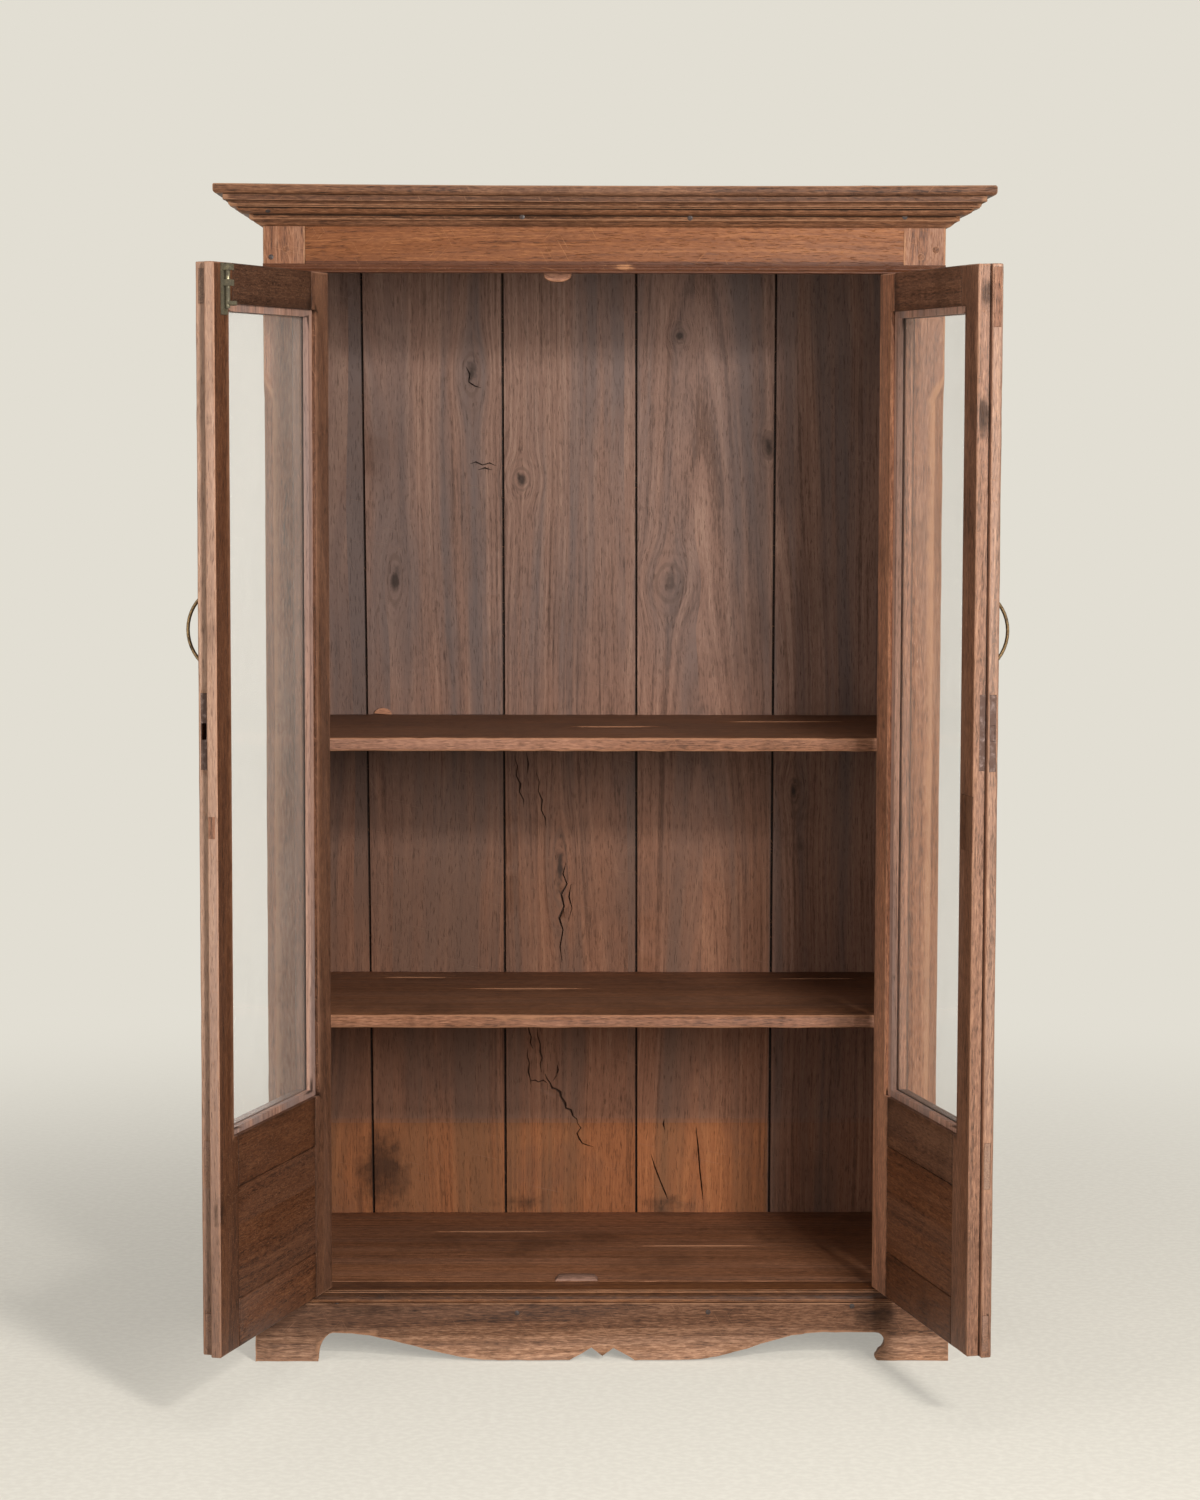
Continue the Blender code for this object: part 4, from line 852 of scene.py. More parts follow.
def crack_cutter(path, width):
    """A thin wedge that follows a jagged path, widest at its middle."""
    bpy.ops.object.select_all(action="DESELECT")
    bpy.ops.mesh.primitive_grid_add(x_subdivisions=len(path) - 1, y_subdivisions=1, size=1.0)
    cutter = bpy.context.active_object
    rows = sorted(cutter.data.vertices, key=lambda v: (round(v.co.x, 4), v.co.y))
    for i, point in enumerate(path):
        spread = width * (0.15 + sin(pi * i / (len(path) - 1)) * (1.0 if i % 2 else 0.6))
        run = (path[min(i + 1, len(path) - 1)] - path[max(i - 1, 0)]).normalized()
        for vertex, side in zip(rows[2 * i:2 * i + 2], (-0.5, 0.5)):
            vertex.co = (point.x - run.z * side * spread, point.y - CRACK_LEAD, point.z + run.x * side * spread)
    bpy.ops.object.mode_set(mode="EDIT")
    bpy.ops.mesh.select_all(action="SELECT")
    bpy.ops.mesh.extrude_region_move(TRANSFORM_OT_translate={"value": (0.0, CRACK_DEPTH + CRACK_LEAD, 0.0)})
    bpy.ops.mesh.select_all(action="SELECT")
    bpy.ops.mesh.normals_make_consistent(inside=False)
    bpy.ops.object.mode_set(mode="OBJECT")
    return cutter


def dark_crack_floor(place, value):
    """Only the floor of a crack is darkened."""
    return min(0.0, value) if CRACK_FLOOR_FROM < place.y < CRACK_FLOOR_TO else 0.0


def cut_away(piece, cutter):
    """Take a cutter's shape out of a piece, and throw the cutter away."""
    select_only(piece)
    cut = piece.modifiers.new("cut", "BOOLEAN")
    cut.object = cutter
    cut.operation = "DIFFERENCE"
    bpy.ops.object.modifier_apply(modifier="cut")
    bpy.data.objects.remove(cutter)


def crack_open(number):
    def carve(board):
        for width, *path in CRACKS.get(number, ()):
            before = len(board.data.vertices)
            places = [spot(f"back_board_{number}", x, y)[0] for x, y in path]
            cut_away(board, crack_cutter(places, max(1.2 * width, 0.0025)))
            if len(board.data.vertices) <= before:
                raise RuntimeError(f"the crack from {path[0]} did not cut board {number}")

    return carve


print("cracks in each board:", {number: len(cracks) for number, cracks in CRACKS.items()})

# %% [markdown]
# Now the five boards can be set. Water and soot have left dark clouds on them, given as centre, reach and strength. Two
# extra cuts along the tide line keep its edge crisp.

# %% Set the back boards
WATER = (
    ((-0.335, 0.45, 0.17), (0.044, 0.2, 0.10), -0.75), ((-0.10, 0.45, 0.36), (0.04, 0.2, 0.06), -0.3),
    ((-0.11, 0.45, 0.115), (0.06, 0.2, 0.02), -0.6), ((0.10, 0.45, 0.112), (0.06, 0.2, 0.018), -0.6),
    ((0.30, 0.45, 0.70), (0.05, 0.2, 0.10), -0.35), ((-0.30, 0.45, 0.95), (0.10, 0.2, 0.03), -0.25),
    ((0.262, 0.45, 1.29), (0.014, 0.2, 0.035), -0.55),
)
for i in range(1, 6):
    board_of(f"back_board_{i}", "carcass", BACK_TEAK, 2, cells=(0.04, 0.04, 0.02), uneven=0.0010,
             other=brown_foot, shade=back_tone_and_shade(i), carve=crack_open(i), marks=WATER, rub=dark_crack_floor,
             extra=((2, TIDE - TIDE_BAND), (2, TIDE + TIDE_BAND)), reshape=narrowed(f"back_board_{i}"))
print("back boards:", [len(b.data.polygons) for b in made_boards])

# %% [markdown]
# A gap between two back boards would let daylight through. Such boards are grooved along their edges, and a thin loose
# tongue closes the joint. Each tongue is a box that leans with its joint, with its long edges eased.

# %% Loose tongues in the back
def edge_of(node, pick, head):
    """The x of a board's left (min) or right (max) edge, at its foot or head."""
    points = [v.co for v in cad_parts[node].data.vertices]
    level_z = max(p.z for p in points) if head else min(p.z for p in points)
    return pick(p.x for p in points if abs(p.z - level_z) < 0.004)


def plain_marks(piece, along, number, shade=1.0, lie=CARCASS):
    """Give a small new piece the attributes that the teak finishes read."""
    points = [Vector(along_fibre(v.co, lie, along)) for v in piece.data.vertices]
    middle = sum(points, Vector()) / len(points)
    store(piece, [p - middle for p in points], (0.01, 0.03, 0.02), number, [shade] * len(points),
          corner_values(piece), [0.0] * len(piece.data.polygons))


def ease(piece, width, segments=2):
    """Round the edges of a piece a little and apply it."""
    select_only(piece)
    soften = piece.modifiers.new("ease", "BEVEL")
    soften.width = width
    soften.segments = segments
    bpy.ops.object.modifier_apply(modifier="ease")


def eased_box(name, middle, size, lie=CARCASS, radius=0.0006, lean=0.0):
    """A box with eased edges, in the measure of a lie. Its head may lean along X."""
    bpy.ops.object.select_all(action="DESELECT")
    bpy.ops.mesh.primitive_cube_add(size=1.0)
    made = bpy.context.active_object
    made.name = made.data.name = name
    made.matrix_world = (
        Matrix.Translation(lie.place(*middle)) @ Matrix(lie.ways).transposed().to_4x4() @ Matrix.Diagonal((*size, 1.0))
    )
    bpy.ops.object.transform_apply(location=True, rotation=True, scale=True)
    for vertex in made.data.vertices:
        if vertex.co.z > middle[2]:
            vertex.co.x += lean
    ease(made, radius)
    return made


for i in range(1, 5):
    low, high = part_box(f"back_board_{i}")
    foot = (edge_of(f"back_board_{i}", max, False) + edge_of(f"back_board_{i + 1}", min, False)) / 2
    head = (edge_of(f"back_board_{i}", max, True) + edge_of(f"back_board_{i + 1}", min, True)) / 2
    middle = (foot, (low.y + high.y) / 2 + 0.001, (low.z + high.z) / 2)
    tongue = eased_box(f"back_tongue_{i}", middle, (0.010, 0.004, high.z - low.z - 0.012), lean=head - foot)
    plain_marks(tongue, 2, 60 + i, 0.12)
    settle(tongue, INNER_TEAK, "carcass")
print("tongue 4 leans from", round(foot, 4), "to", round(head, 4))

# %% [markdown]
# The front frame is two posts with a stopped chamfer, the frieze rail with its bead, and the sill with its nosing. The
# frieze was polished most. Its bead is darkened, by grime and by a painted shade on its underside, and below the frieze
# the posts are lightened by painted light, where the open doors shade them. All are planed boards, so board_of makes
# them, with the cuts that keep the bead crisp.

# %% Posts, frieze and sill
SIDES = ("left", "right")
FRIEZE_FOOT = 1.53
BEAD_TOP = 1.5455


def dark_bead_dirt_and_shade(facing, place):
    """The bead along the lower edge of the frieze is darkened: grime, and a painted shade on its underside."""
    return 1.0 if place.z < BEAD_TOP else 0.0


def rubbed_frieze(place, value):
    """The bead is sheltered, so it is rubbed less."""
    return 0.25 * value if place.z < BEAD_TOP + 0.0005 else value


# Below the frieze the posts are lightened: painted light where the open doors' hinge stiles shade them.
def post_lit_below_frieze(place):
    return 1.0 if place.z > FRIEZE_FOOT else 1.2


for word in SIDES:
    board_of(f"post_front_{word}", "carcass", POST_TEAK, 2, shade=post_lit_below_frieze)
    board_of(f"post_rear_{word}", "carcass", INNER_TEAK, 2)
board_of("frieze_rail", "carcass", FRIEZE_TEAK, 0, cells=(0.02, 0.03, 0.03), other=dark_bead_dirt_and_shade,
         rub=rubbed_frieze, extra=((2, 1.5475), (2, 1.5520)),
         marks=(((0.028, -0.05, 1.540), (0.022, 0.1, 0.006), 0.8),))
board_of("sill", "carcass", SILL_TEAK, 0, cells=(0.02, 0.03, 0.03))
print("boards so far:", len(made_boards))

# %% [markdown]
# The crown is a moulding mitred round three sides under a plain top board. Both have sagged a little in the middle, and
# the board has run on past the moulding, so after its wear each board is bent by a small function of place.

# %% Crown and top
CROWN_CUTS = ((2, 1.6300), (2, 1.6345))
SAG = 0.0022


def shaded_fillet(facing, place):
    """The fillet right under the top board is darkened: a painted shade under the board."""
    return 0.7 if place.z > 1.6245 else 0.0


def sagged(point):
    """Lower the middle of the crown, fading out down to the frieze."""
    share = kept_share((point.z - 1.60) / 0.03)
    return Vector((point.x, point.y, point.z - SAG * share * max(0.0, 1.0 - (point.x / 0.53) ** 2)))


def sagged_long(point):
    """The top board runs on a few millimetres past the crown at both ends."""
    return sagged(Vector((point.x * 1.0075, point.y, point.z)))


board_of("top_board", "carcass", CROWN_TEAK, 0, cells=(0.02, 0.03, 0.03), rim=0.002, nicked=0.0024,
         shade=0.74, reshape=sagged_long)
board_of("cornice_front", "carcass", CROWN_TEAK, 0, cells=(0.02, 0.2, 0.2), rim=0.5, reshape=sagged,
         other=shaded_fillet, extra=CROWN_CUTS)
for word in SIDES:
    board_of(f"cornice_{word}", "carcass", CROWN_TEAK, 1, cells=(0.2, 0.02, 0.2), rim=0.5,
             other=shaded_fillet, extra=CROWN_CUTS)
print("boards so far:", len(made_boards))

# %% [markdown]
# The plinth stands on bracket feet with a scalloped lower edge. It takes the kicks and the wet mop, so its arrises are
# the most worn, and its feet are scuffed pale.

# %% Plinth
def kicked_foot(facing, place):
    """Feet and scallops are scuffed pale towards the floor."""
    return kept_share((0.050 - place.z) / 0.04)


# Two dark patches near the top of the plinth front, as centre, reach and strength.
PLINTH_DARK_PATCHES = (((0.385, -0.07, 0.066), (0.05, 0.05, 0.012), -0.75), ((-0.33, -0.07, 0.075), (0.12, 0.05, 0.014), -0.4))
board_of("plinth_front", "carcass", PLINTH_TEAK, 0, cells=(0.016, 0.03, 0.012), nicked=0.0026,
         other=kicked_foot, marks=PLINTH_DARK_PATCHES)
for word in SIDES:
    board_of(f"plinth_{word}", "carcass", PLINTH_TEAK, 1, cells=(0.03, 0.016, 0.012), nicked=0.0026,
             other=kicked_foot)
    board_of(f"side_board_{word}", "carcass", INNER_TEAK, 2, cells=(0.04, 0.04, 0.04))
print("boards so far:", len(made_boards))

# %% [markdown]
# Shelves and bottom board are dark on top and pale along the front edge, where things have been dragged over them. They
# have split along the grain, and one lip of each split has sprung up. A split is a line of picture points. Close cuts
# along it let the lip rise, and a pale mark follows it.

# %% Shelves
def front_edge(facing, place):
    return 1.0 if facing.y < -0.5 else 0.0


SPLITS = {
    "shelf_upper": ((566, 727, 664, 727), (721, 722, 850, 722)),
    "shelf_lower": ((463, 989, 590, 989), (378, 978, 455, 978), (775, 979, 860, 979)),
    "bottom_board": ((430, 1232, 560, 1232), (640, 1246, 760, 1246)),
}
LIP = 0.0014
LIP_RUN = 0.020
LIP_CUTS = (-0.0016, -0.0004, 0.0, 0.005, LIP_RUN)


def splits(node):
    """Splits along a shelf, from picture points: the cuts that hold them, their pale edges, and their sprung lips."""
    cuts, marks = [], []
    for x0, y0, x1, y1 in SPLITS[node]:
        start, end = spot(node, x0, y0)[0], spot(node, x1, y1)[0]
        middle = (start + end) / 2
        cuts += [(1, middle.y + step) for step in LIP_CUTS]
        marks.append((middle, (0.56 * (end.x - start.x), 0.0028, 0.012), 1.3))
    lips = [(middle, reach[0]) for middle, reach, _ in marks]

    def sprung(point):
        rise = 0.0
        for middle, half in lips:
            behind = point.y - middle.y
            if point.z > middle.z - 0.004 and -0.0002 < behind < LIP_RUN:
                rise = max(rise, LIP * (1.0 - behind / LIP_RUN) * max(0.0, 1.0 - ((point.x - middle.x) / half) ** 4))
        return Vector((point.x, point.y, point.z + rise))

    return cuts, marks, sprung


# The shade lightens the lower boards: painted light for the light that reaches low in the cabinet.
for node, shade, pale in (("shelf_upper", 0.95, 0.72), ("shelf_lower", 1.2, 0.45), ("bottom_board", 1.6, 0.5)):
    cuts, marks, sprung = splits(node)
    if node == "shelf_lower":
        marks.append((spot(node, 520, 1018)[0], (0.065, 0.006, 0.010), 0.9))
    board_of(node, "carcass", INNER_TEAK, 0, cells=(0.02, 0.04, 0.03), uneven=0.0012, nicked=0.0036,
             shade=shade, extra=cuts, marks=marks, reshape=sprung,
             other=lambda facing, place: pale * front_edge(facing, place))
print("boards so far:", len(made_boards))

# %% [markdown]
# Plain cleats carry the shelves. Two small stops catch the doors, one under the frieze and one on the bottom board.
# Each is a block whose ends were rounded with a chisel, so its free edge is drawn back along a half circle.

# %% Cleats and stops
for level_word in ("upper", "lower"):
    for word in SIDES:
        board_of(f"cleat_{level_word}_{word}", "carcass", INNER_TEAK, 1, other=front_edge)


def half_moon(node, foot, droop):
    """Draw a stop's free edge back, by droop at its ends: downwards if positive, upwards if negative."""
    low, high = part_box(node)
    middle, half = (low.x + high.x) / 2, (high.x - low.x) / 2

    def reshape(point):
        share = 1.0 - max(0.0, 1.0 - ((point.x - middle) / half) ** 2) ** 0.5
        reach = kept_share((foot - point.z if droop < 0 else point.z - foot) / 0.010)
        return Vector((point.x, point.y, point.z - droop * share * reach))

    return reshape


board_of("door_stop_top", "carcass", INNER_TEAK, 0, other=front_edge, shade=1.3, cells=(0.003, 0.02, 0.02),
         reshape=half_moon("door_stop_top", 1.531, -0.009))
board_of("door_stop_bottom", "carcass", BACK_TEAK, 0, shade=1.15, cells=(0.003, 0.02, 0.02),
         reshape=half_moon("door_stop_bottom", 0.1045, 0.004))
print("boards so far:", len(made_boards))

# %% [markdown]
# A pale chip, split off some board, has been left at the back of the upper shelf. It is half of a flattened disc.

# %% Chip on the upper shelf
bpy.ops.object.select_all(action="DESELECT")
bpy.ops.mesh.primitive_cylinder_add(vertices=14, radius=0.0135, depth=0.005, rotation=(pi / 2, 0.0, 0.0))
chip = bpy.context.active_object
chip.name = chip.data.name = "wood_chip"
bpy.ops.object.transform_apply(rotation=True)
bpy.ops.object.mode_set(mode="EDIT")
bpy.ops.mesh.select_all(action="SELECT")
bpy.ops.mesh.bisect(plane_co=(0.0, 0.0, 0.0), plane_no=(0.1, 0.0, 1.0), use_fill=True, clear_inner=True)
bpy.ops.mesh.select_all(action="SELECT")
bpy.ops.transform.resize(value=(1.0, 1.0, 0.7), center_override=(0.0, 0.0, 0.0))
bpy.ops.object.mode_set(mode="OBJECT")
chip.location = (spot("back_board_2", 383, 708)[0].x, 0.4435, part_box("shelf_upper")[1].z + 0.0008)
bpy.ops.object.transform_apply(location=True)
ease(chip, 0.0006)
plain_marks(chip, 0, 93, 1.9)
settle(chip, POST_TEAK, "carcass")
print("the chip is", [round(v * 1000, 1) for v in chip.dimensions], "mm")

# %% [markdown]
# Each door is two stiles, three rails, a flat panel below and a glazing bead. The polish is dark on the faces and has
# worn off the free edges, which hands hold. Dirt gathers beside the joints. These helpers put that in a leaf's own
# measure: X from the hinge edge, Y from the outer face.

# %% Where the doors' polish has gone
FREE_HALF = 0.3
TENON_FROM = 0.38
LAP_FLOOR = 0.0135
GLASS_EDGES = (0.3995, 1.468)


def free_edge(lap, edge):
    """Marks the lap and the rest of a stile's free edge as bare, less so towards the floor, where no hand goes."""
    def other(facing, place):
        if facing.x > 0.6 and place.x > FREE_HALF:
            handled = 0.45 + 0.55 * kept_share((place.z - 0.15) / 0.55)
            return handled * (lap if place.y < LAP_FLOOR else edge)
        return 0.25 if abs(facing.z) > 0.6 else 0.0

    return other


def tenon_end(facing, place):
    """Rails run through the stiles, and their bare ends show on the free edges."""
    return 0.5 if facing.x > 0.6 and place.x > TENON_FROM else 0.0


def rubbed_rail(place, value):
    """Rails and panels lie against their neighbours, so only dirt gathers along their joints."""
    if place.x > TENON_FROM:
        return 0.0
    opening = any(abs(place.z - edge) < 0.004 for edge in GLASS_EDGES)
    return 0.25 * value if opening else -0.45 * abs(value)


def rubbed_stile(place, value):
    """A stile is rubbed along its outer arrises and beside the glass, and dirty beside the rails."""
    inner = 0.062 < place.x < 0.36
    beside_glass = 0.41 < place.z < 1.46
    return value if not inner else 0.2 * value if beside_glass else -0.45 * abs(value)


low_on_the_lap = free_edge(1.0, 0.9)(Vector((1.0, 0.0, 0.0)), Vector((0.4, 0.0, 0.4)))
print("a free edge 0.4 m up is bare by", round(low_on_the_lap, 2))

# %% [markdown]
# Old knots are dark spots on the meeting stiles. Inside, each board gets painted light or shade for how the lamps
# fall on the open leaves: the left leaf, which faces the main lamp, is darkened, and the right leaf, turned away from
# it, is lightened. Some boards have gone dry. The outer faces keep one polish, so that the closed doors match.

# %% Marks and shades of the doors
STILE_SKIN, RAIL_SKIN = 0.003, 0.014


def old_knot(word, x, y, reach, strength):
    """A dark mark on a stile, from a picture point."""
    return (LEAVES[word].measure(spot(f"{word}_meeting_stile", x, y)[0]), (reach, reach, 1.6 * reach), strength)


def knot_cuts(marks):
    """Cuts along a stile that let its dark marks fade out."""
    steps = (-1.0, -0.6, -0.2, 0.2, 0.6, 1.0)
    return [(2, centre[2] + reach[2] * step) for centre, reach, _ in marks for step in steps]


LEAF_MARKS = {
    "left": (old_knot("left", 220, 1212, 0.016, -0.7), old_knot("left", 209, 420, 0.010, -0.5)),
    "right": (old_knot("right", 978, 418, 0.022, -0.9), old_knot("right", 966, 640, 0.012, -0.5),
              old_knot("right", 987, 294, 0.016, -0.6)),
}
LEAF_PIECES = ("hinge_stile", "meeting_stile", "top_rail", "lock_rail", "bottom_rail", "panel")
# Painted light and shade for the inner faces: below 1 darkens a board, above 1 lightens it.
LEAF_PAINTED_LIGHT = {
    "left": dict(zip(LEAF_PIECES, (1.05, 0.76, 0.55, 0.72, 0.95, 0.78))),
    "right": dict(zip(LEAF_PIECES, (3.3, 1.7, 1.5, 1.05, 1.0, 1.12))),
}
OUTER_SHADE = 1.0
# The beads are lightened, the right one most: painted light, as it lies in shade.
BEAD_PAINTED_LIGHT = {"left": 1.65, "right": 2.3}


def painted_leaf_light(inner, skin):
    """The outer faces of both leaves keep one polish, and inside every board gets its own painted light or shade."""
    return lambda place: inner if place.y > skin else OUTER_SHADE


DRY = {"left": ("top_rail", "hinge_stile"), "right": ("top_rail", "hinge_stile", "meeting_stile", "lock_rail")}
BARE = {"left": (1.0, 0.92), "right": (0.38, 0.22)}
print("cuts for the left stile's marks:", [round(place, 3) for _, place in knot_cuts(LEAF_MARKS["left"])])

# %% [markdown]
# With all that said, one loop makes both leaves. Grain runs up the stiles and across the rails and panels. Three cuts
# along each stile hold the step of the lap.

# %% Door leaves
LAP_CUTS = ((1, 0.0112), (1, 0.0148), (1, 0.0186))
for word, lie in LEAVES.items():
    for piece in LEAF_PIECES:
        marks = LEAF_MARKS[word] if piece == "meeting_stile" else ()
        if piece.endswith("stile"):
            along, skin, other, rub = 2, STILE_SKIN, free_edge(*BARE[word]), rubbed_stile
            cuts = [*LAP_CUTS, *knot_cuts(marks)]
        else:
            along, skin, other, rub, cuts = 0, RAIL_SKIN, tenon_end, rubbed_rail, ()
        finish = DRY_DOOR_TEAK if piece in DRY[word] else DOOR_TEAK
        board_of(f"{word}_{piece}", f"{word}_leaf", finish, along, lie, uneven=0.0004, nicked=0.0012,
                 other=other, rub=rub, marks=marks, extra=cuts, shade=painted_leaf_light(LEAF_PAINTED_LIGHT[word][piece], skin))
    board_of(f"{word}_glazing_bead", f"{word}_leaf", BACK_TEAK, 2, lie, cells=(0.06, 0.06, 0.06), rim=0.5,
             uneven=0.0002, nicked=0.0003, shade=BEAD_PAINTED_LIGHT[word])
print("boards in all:", len(made_boards), "with", sum(len(b.data.polygons) for b in made_boards), "faces")

# %% [markdown]
# Someone has let new pieces of wood into the meeting stiles where old fittings were. Each is a thin slab that stands a
# hair proud of the stile, with its own grain.

# %% Let-in patches
PATCH_THICK = 0.0022


def let_in(name, word, x0, y0, x1, y1, way, shade, number):
    """A thin slab over a window of the picture, on the face of a meeting stile that looks along one of its ways."""
    lie = LEAVES[word]
    spans = [lie.measure(spot(f"{word}_meeting_stile", x, y)[0]) for x in (x0, x1) for y in (y0, y1)]
    low = Vector([min(s[i] for s in spans) for i in range(3)])
    high = Vector([max(s[i] for s in spans) for i in range(3)])
    middle, size = (low + high) / 2, high - low
    middle[way], size[way] = high[way] - 0.0006, PATCH_THICK
    patch = eased_box(name, middle, size, lie)
    plain_marks(patch, 2, number, shade, lie)
    settle(patch, DRY_DOOR_TEAK, f"{word}_leaf")
    print(name, "is", [round(v * 1000, 1) for v in size], "mm")


let_in("let_in_patch_right", "right", 961.5, 797, 973.0, 849, 1, 1.25, 91)
let_in("let_in_patch_left", "left", 208.5, 817, 215.0, 839, 0, 2.2, 92)
let_in("let_in_piece_head", "right", 994.5, 266.5, 1001.5, 327, 0, 1.8, 94)

# %% [markdown]
# Old window glass is clear, a little wavy, and filmed with dust. It shows the room at a glancing angle. The packed
# panes keep their shape. A low alpha lets what is behind show through, and film and gloss raise it.

# %% Glass
glass, tree = new_material("old_glass")
where = object_place(tree)
film = noise(tree, where, (9.0, 9.0, 6.0), 5.0, 0.65)
wave = noise(tree, where, (14.0, 14.0, 5.0), 2.0, 0.4)
relief = put(tree, "ShaderNodeBump", {"Strength": 0.2, "Distance": 0.0006, "Height": wave})
gloss = put(tree, "ShaderNodeFresnel", {"IOR": 1.35}).outputs[0]
cover = calc(tree, "ADD", calc(tree, "MULTIPLY", gloss, 0.10), fade(tree, film, 0.35, 0.8, 0.065, 0.12), clamp=True)
shader = put(tree, "ShaderNodeBsdfPrincipled", {
    "Base Color": tone(250, 247, 241), "Roughness": fade(tree, film, 0.3, 0.8, 0.01, 0.06), "Transmission Weight": 0.4,
    "IOR": 1.45, "Alpha": cover, "Normal": relief.outputs[0],
})
put(tree, "ShaderNodeOutputMaterial", {"Surface": shader.outputs[0]})
for word in SIDES:
    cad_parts[f"{word}_glass"].data.materials.clear()
    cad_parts[f"{word}_glass"].data.materials.append(glass)
print("glass on both leaves")

# %% [markdown]
# The fittings are iron gone brown with rust, brass gone dull, and a bow handle of dark bronze. One group gives all
# three their blotches, with its own tones in each.

# %% Metal finishes
metal_group, given, result = new_group(
    "Old Metal",
    [("Place", "vector", None), ("Clean", "colour", tone(120, 100, 80)), ("Dull", "colour", tone(70, 56, 44)),
     ("Crust", "colour", tone(60, 34, 20)), ("Crust Share", "float", 0.5), ("Clean Metal", "float", 1.0)],
    [("Colour", "colour"), ("Roughness", "float"), ("Metal", "float"), ("Height", "float")],
)
tree = metal_group
place = given["Place"]
mottle = noise(tree, place, (130.0, 130.0, 130.0), 5.0, 0.62)
pits = noise(tree, place, (620.0, 620.0, 620.0), 3.0, 0.6)
crust = fade(tree, calc(tree, "ADD", mottle, calc(tree, "SUBTRACT", given["Crust Share"], 0.5)), 0.42, 0.66)
colour = mix(tree, fade(tree, pits, 0.35, 0.7), given["Clean"], given["Dull"])
give(result, "Colour", mix(tree, crust, colour, given["Crust"]))
rough = calc(tree, "MULTIPLY_ADD", pits, 0.2, 0.28)
give(result, "Roughness", calc(tree, "MULTIPLY_ADD", crust, 0.4, rough, clamp=True))
clean = calc(tree, "SUBTRACT", 1.0, crust)
give(result, "Metal", calc(tree, "MULTIPLY", given["Clean Metal"], clean, clamp=True))
give(result, "Height", calc(tree, "MULTIPLY_ADD", crust, 0.7, calc(tree, "MULTIPLY", pits, 0.4)))


def old_metal(name, bump=0.0003, **values):
    """A material of the Old Metal group with its own tones."""
    made, tree = new_material(name)
    inputs = {"Place": object_place(tree), **named(values)}
    metal = put(tree, "ShaderNodeGroup", inputs, node_tree=metal_group).outputs
    relief = put(tree, "ShaderNodeBump", {"Strength": 0.7, "Distance": bump, "Height": metal["Height"]})
    shader = put(tree, "ShaderNodeBsdfPrincipled", {
        "Base Color": metal["Colour"], "Roughness": metal["Roughness"], "Metallic": metal["Metal"],
        "Normal": relief.outputs[0],
    })
    put(tree, "ShaderNodeOutputMaterial", {"Surface": shader.outputs[0]})
    return made


IRON = old_metal("rusty_iron", clean=tone(128, 106, 98), dull=tone(98, 80, 74), crust=tone(92, 68, 58),
                 crust_share=0.6, clean_metal=0.6)
NAIL_IRON = old_metal("nail_iron", clean=tone(84, 80, 80), dull=tone(54, 50, 50), crust=tone(66, 50, 44),
                      crust_share=0.6, clean_metal=0.6)
BRASS = old_metal("dull_brass", clean=tone(138, 130, 104), dull=tone(104, 97, 76), crust=tone(84, 78, 62),
                  crust_share=0.6, clean_metal=0.75)
BRONZE = old_metal("dark_bronze", clean=tone(142, 118, 86), dull=tone(88, 70, 50), crust=tone(56, 44, 34),
                   crust_share=0.42)
shown = [node for node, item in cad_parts.items() if not item.hide_render and not node.endswith("_glass")]
for node in shown:
    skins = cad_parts[node].data.materials
    skins.clear()
    skins.append(BRASS if node in ("bolt_plate", "bolt_rod") else BRONZE if node.endswith("_handle") else IRON)
print("metal on", shown)

# %% [markdown]
# Nails and screws are small, so each kind is modelled once at the origin, standing on the XY plane, and copied to its
# places. A cylinder's top is inset and raised to a low dome. The screw also gets its slot, cut with a Boolean.

# %% A nail head and a slotted screw
def button(name, radius, height, sides=20):
    """A domed disc on the XY plane."""
    bpy.ops.object.select_all(action="DESELECT")
    bpy.ops.mesh.primitive_cylinder_add(vertices=sides, radius=radius, depth=height, location=(0.0, 0.0, height / 2))
    made = bpy.context.active_object
    made.name = name
    bpy.ops.object.transform_apply(location=True)
    bpy.ops.object.mode_set(mode="EDIT")
    bpy.ops.mesh.select_all(action="DESELECT")
    shape = bmesh.from_edit_mesh(made.data)
    for face in shape.faces:
        face.select_set(face.normal.z > 0.9)
    bmesh.update_edit_mesh(made.data)
    for share in (0.30, 0.45, 0.5):
        bpy.ops.mesh.inset(thickness=radius * share * 0.5)
        bpy.ops.transform.translate(value=(0.0, 0.0, height * share * 0.5))
    bpy.ops.object.mode_set(mode="OBJECT")
    return made


def slotted(made, radius, height):
    """Cut a screwdriver's slot across a button."""
    bpy.ops.object.select_all(action="DESELECT")
    bpy.ops.mesh.primitive_cube_add(size=1.0, location=(0.0, 0.0, height * 1.7))
    slot = bpy.context.active_object
    slot.scale = (radius * 3.0, radius * 0.28, height * 1.8)
    bpy.ops.object.transform_apply(location=True, scale=True)
    cut_away(made, slot)
    return made


NAIL = button("nail_master", 0.0036, 0.0010, 14)
SCREW = slotted(button("screw_master", 0.0030, 0.0008), 0.0030, 0.0008)
PEG = button("peg_master", 0.0050, 0.0005, 9)
print("nail", len(NAIL.data.polygons), "faces; screw", len(SCREW.data.polygons), "faces")

# %% [markdown]
# Nails hold the crown, the plinth and one post, and wooden pegs lock the tenons of the frieze into the posts. A ray
# finds each place from where it shows in the picture, and the surface there says which way the head faces. Each turns a
# little differently, and its base is sunk a hair below the surface.

# %% Set nails and pegs
SUNK = 0.0003
fastener_count = {"nail": 0, "screw": 0, "peg": 0}


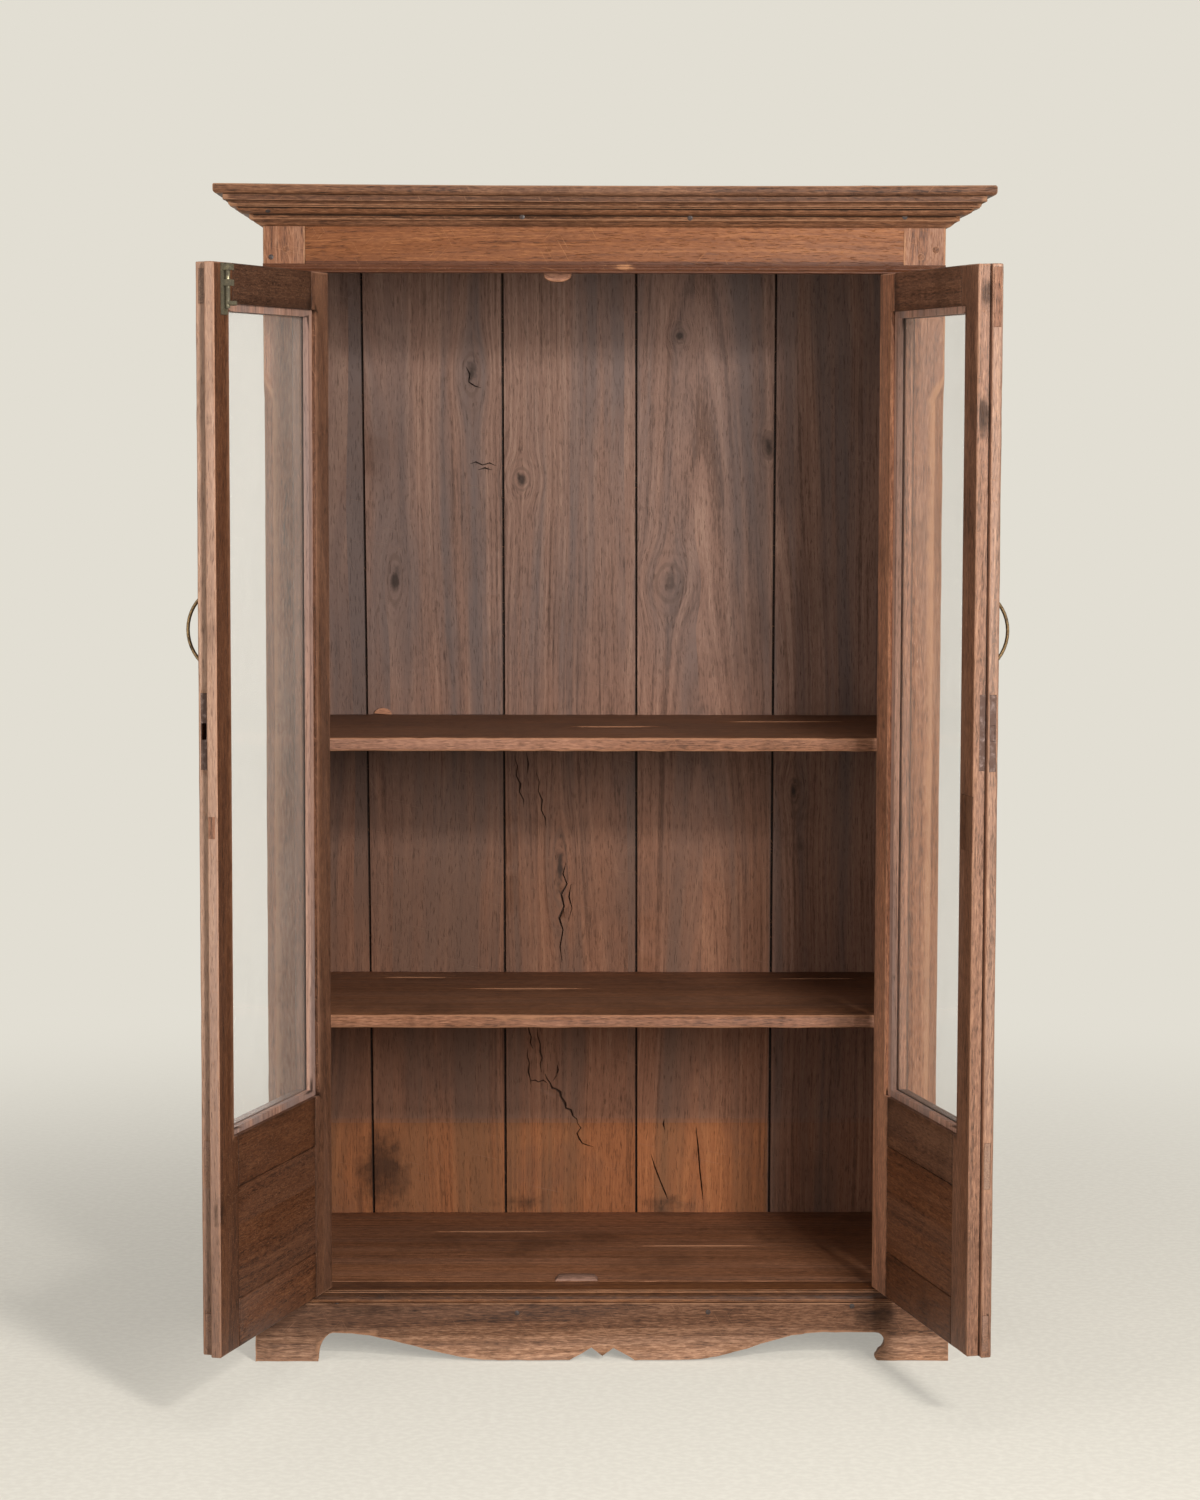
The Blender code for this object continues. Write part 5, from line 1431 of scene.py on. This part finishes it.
def fasten(master, kind, place, facing, body, finish, spin=0.0, number=0):
    """Copy a fastener to a place, with its top facing a way."""
    select_only(master)
    bpy.ops.object.duplicate()
    made = bpy.context.active_object
    fastener_count[kind] += 1
    made.name = made.data.name = f"{kind}_{fastener_count[kind]:02d}"
    made.matrix_world = (
        Matrix.Translation(place) @ facing.to_track_quat("Z", "Y").to_matrix().to_4x4() @ Matrix.Rotation(spin, 4, "Z")
    )
    bpy.ops.object.transform_apply(location=True, rotation=True, scale=True)
    if kind == "peg":
        plain_marks(made, 1, 70 + number, 0.8)
    bpy.ops.object.shade_smooth_by_angle(angle=radians(40))
    settle(made, finish, body)


for node, x, y in (
    ("cornice_front", 522, 217), ("cornice_front", 690, 218), ("cornice_front", 268, 211), ("cornice_front", 905, 217),
    ("post_front_left", 271, 257), ("plinth_front", 337, 1303), ("plinth_front", 517, 1313),
    ("plinth_front", 708, 1312), ("plinth_front", 852, 1306),
):
    place, facing = spot(node, x, y)
    fasten(NAIL, "nail", place - facing * SUNK, facing, "carcass", NAIL_IRON, 0.3 * x)
for node, x, y in (
    ("post_front_left", 286, 249), ("post_front_right", 936, 250), ("post_front_right", 921, 257),
):
    place, facing = spot(node, x, y)
    fasten(PEG, "peg", place - facing * SUNK, facing, "carcass", POST_TEAK, 0.2 * x, x % 7)
print(fastener_count)

# %% [markdown]
# The strike plate and the lock are let into the free edges of the doors. Two screws hold each, and a thin cover plate
# lies beside the lock on the inner side of the lap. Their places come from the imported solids, in the measure of their
# leaf. The screws are sunk until their heads stand only a fraction of a millimetre proud, so closed doors clear them.

# %% Screws and the lock's cover
PLATE_SKIN = 0.0008
SCREW_INSET = 0.006
COVER_THROUGH = 0.0182


def leaf_points(node, lie):
    """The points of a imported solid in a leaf's measure."""
    return [lie.measure(v.co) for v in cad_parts[node].data.vertices]


def drive(word, place, spin):
    """A screw in a leaf's free edge, facing outwards."""
    lie = LEAVES[word]
    fasten(SCREW, "screw", lie.place(*place), lie.ways[0], f"{word}_leaf", IRON, spin)


for word, node in (("left", "strike_plate"), ("right", "lock_case")):
    points = leaf_points(node, LEAVES[word])
    top = max(p[0] for p in points)
    plate = [p for p in points if p[0] > top - PLATE_SKIN]
    through, heights = [p[1] for p in plate], [p[2] for p in plate]
    for z in (min(heights) + SCREW_INSET, max(heights) - SCREW_INSET):
        drive(word, (top - 0.0010, (min(through) + max(through)) / 2, z), 0.7 + z)

inner_end = max(p[0] for p in leaf_points("right_meeting_stile", LEAVES["right"]) if p[1] > 0.017)
cover = eased_box("lock_cover", (inner_end, COVER_THROUGH, 0.9270), (0.0010, 0.0078, 0.099), LEAVES["right"], 0.0004)
settle(cover, IRON, "right_leaf")
for z in (0.8835, 0.9705):
    drive("right", (inner_end - 0.0006, COVER_THROUGH, z), 1.1 + z)
for master in (NAIL, SCREW, PEG):
    bpy.data.objects.remove(master)
print("the cover's face lies", round(inner_end, 4), "from the hinge edge;", fastener_count)
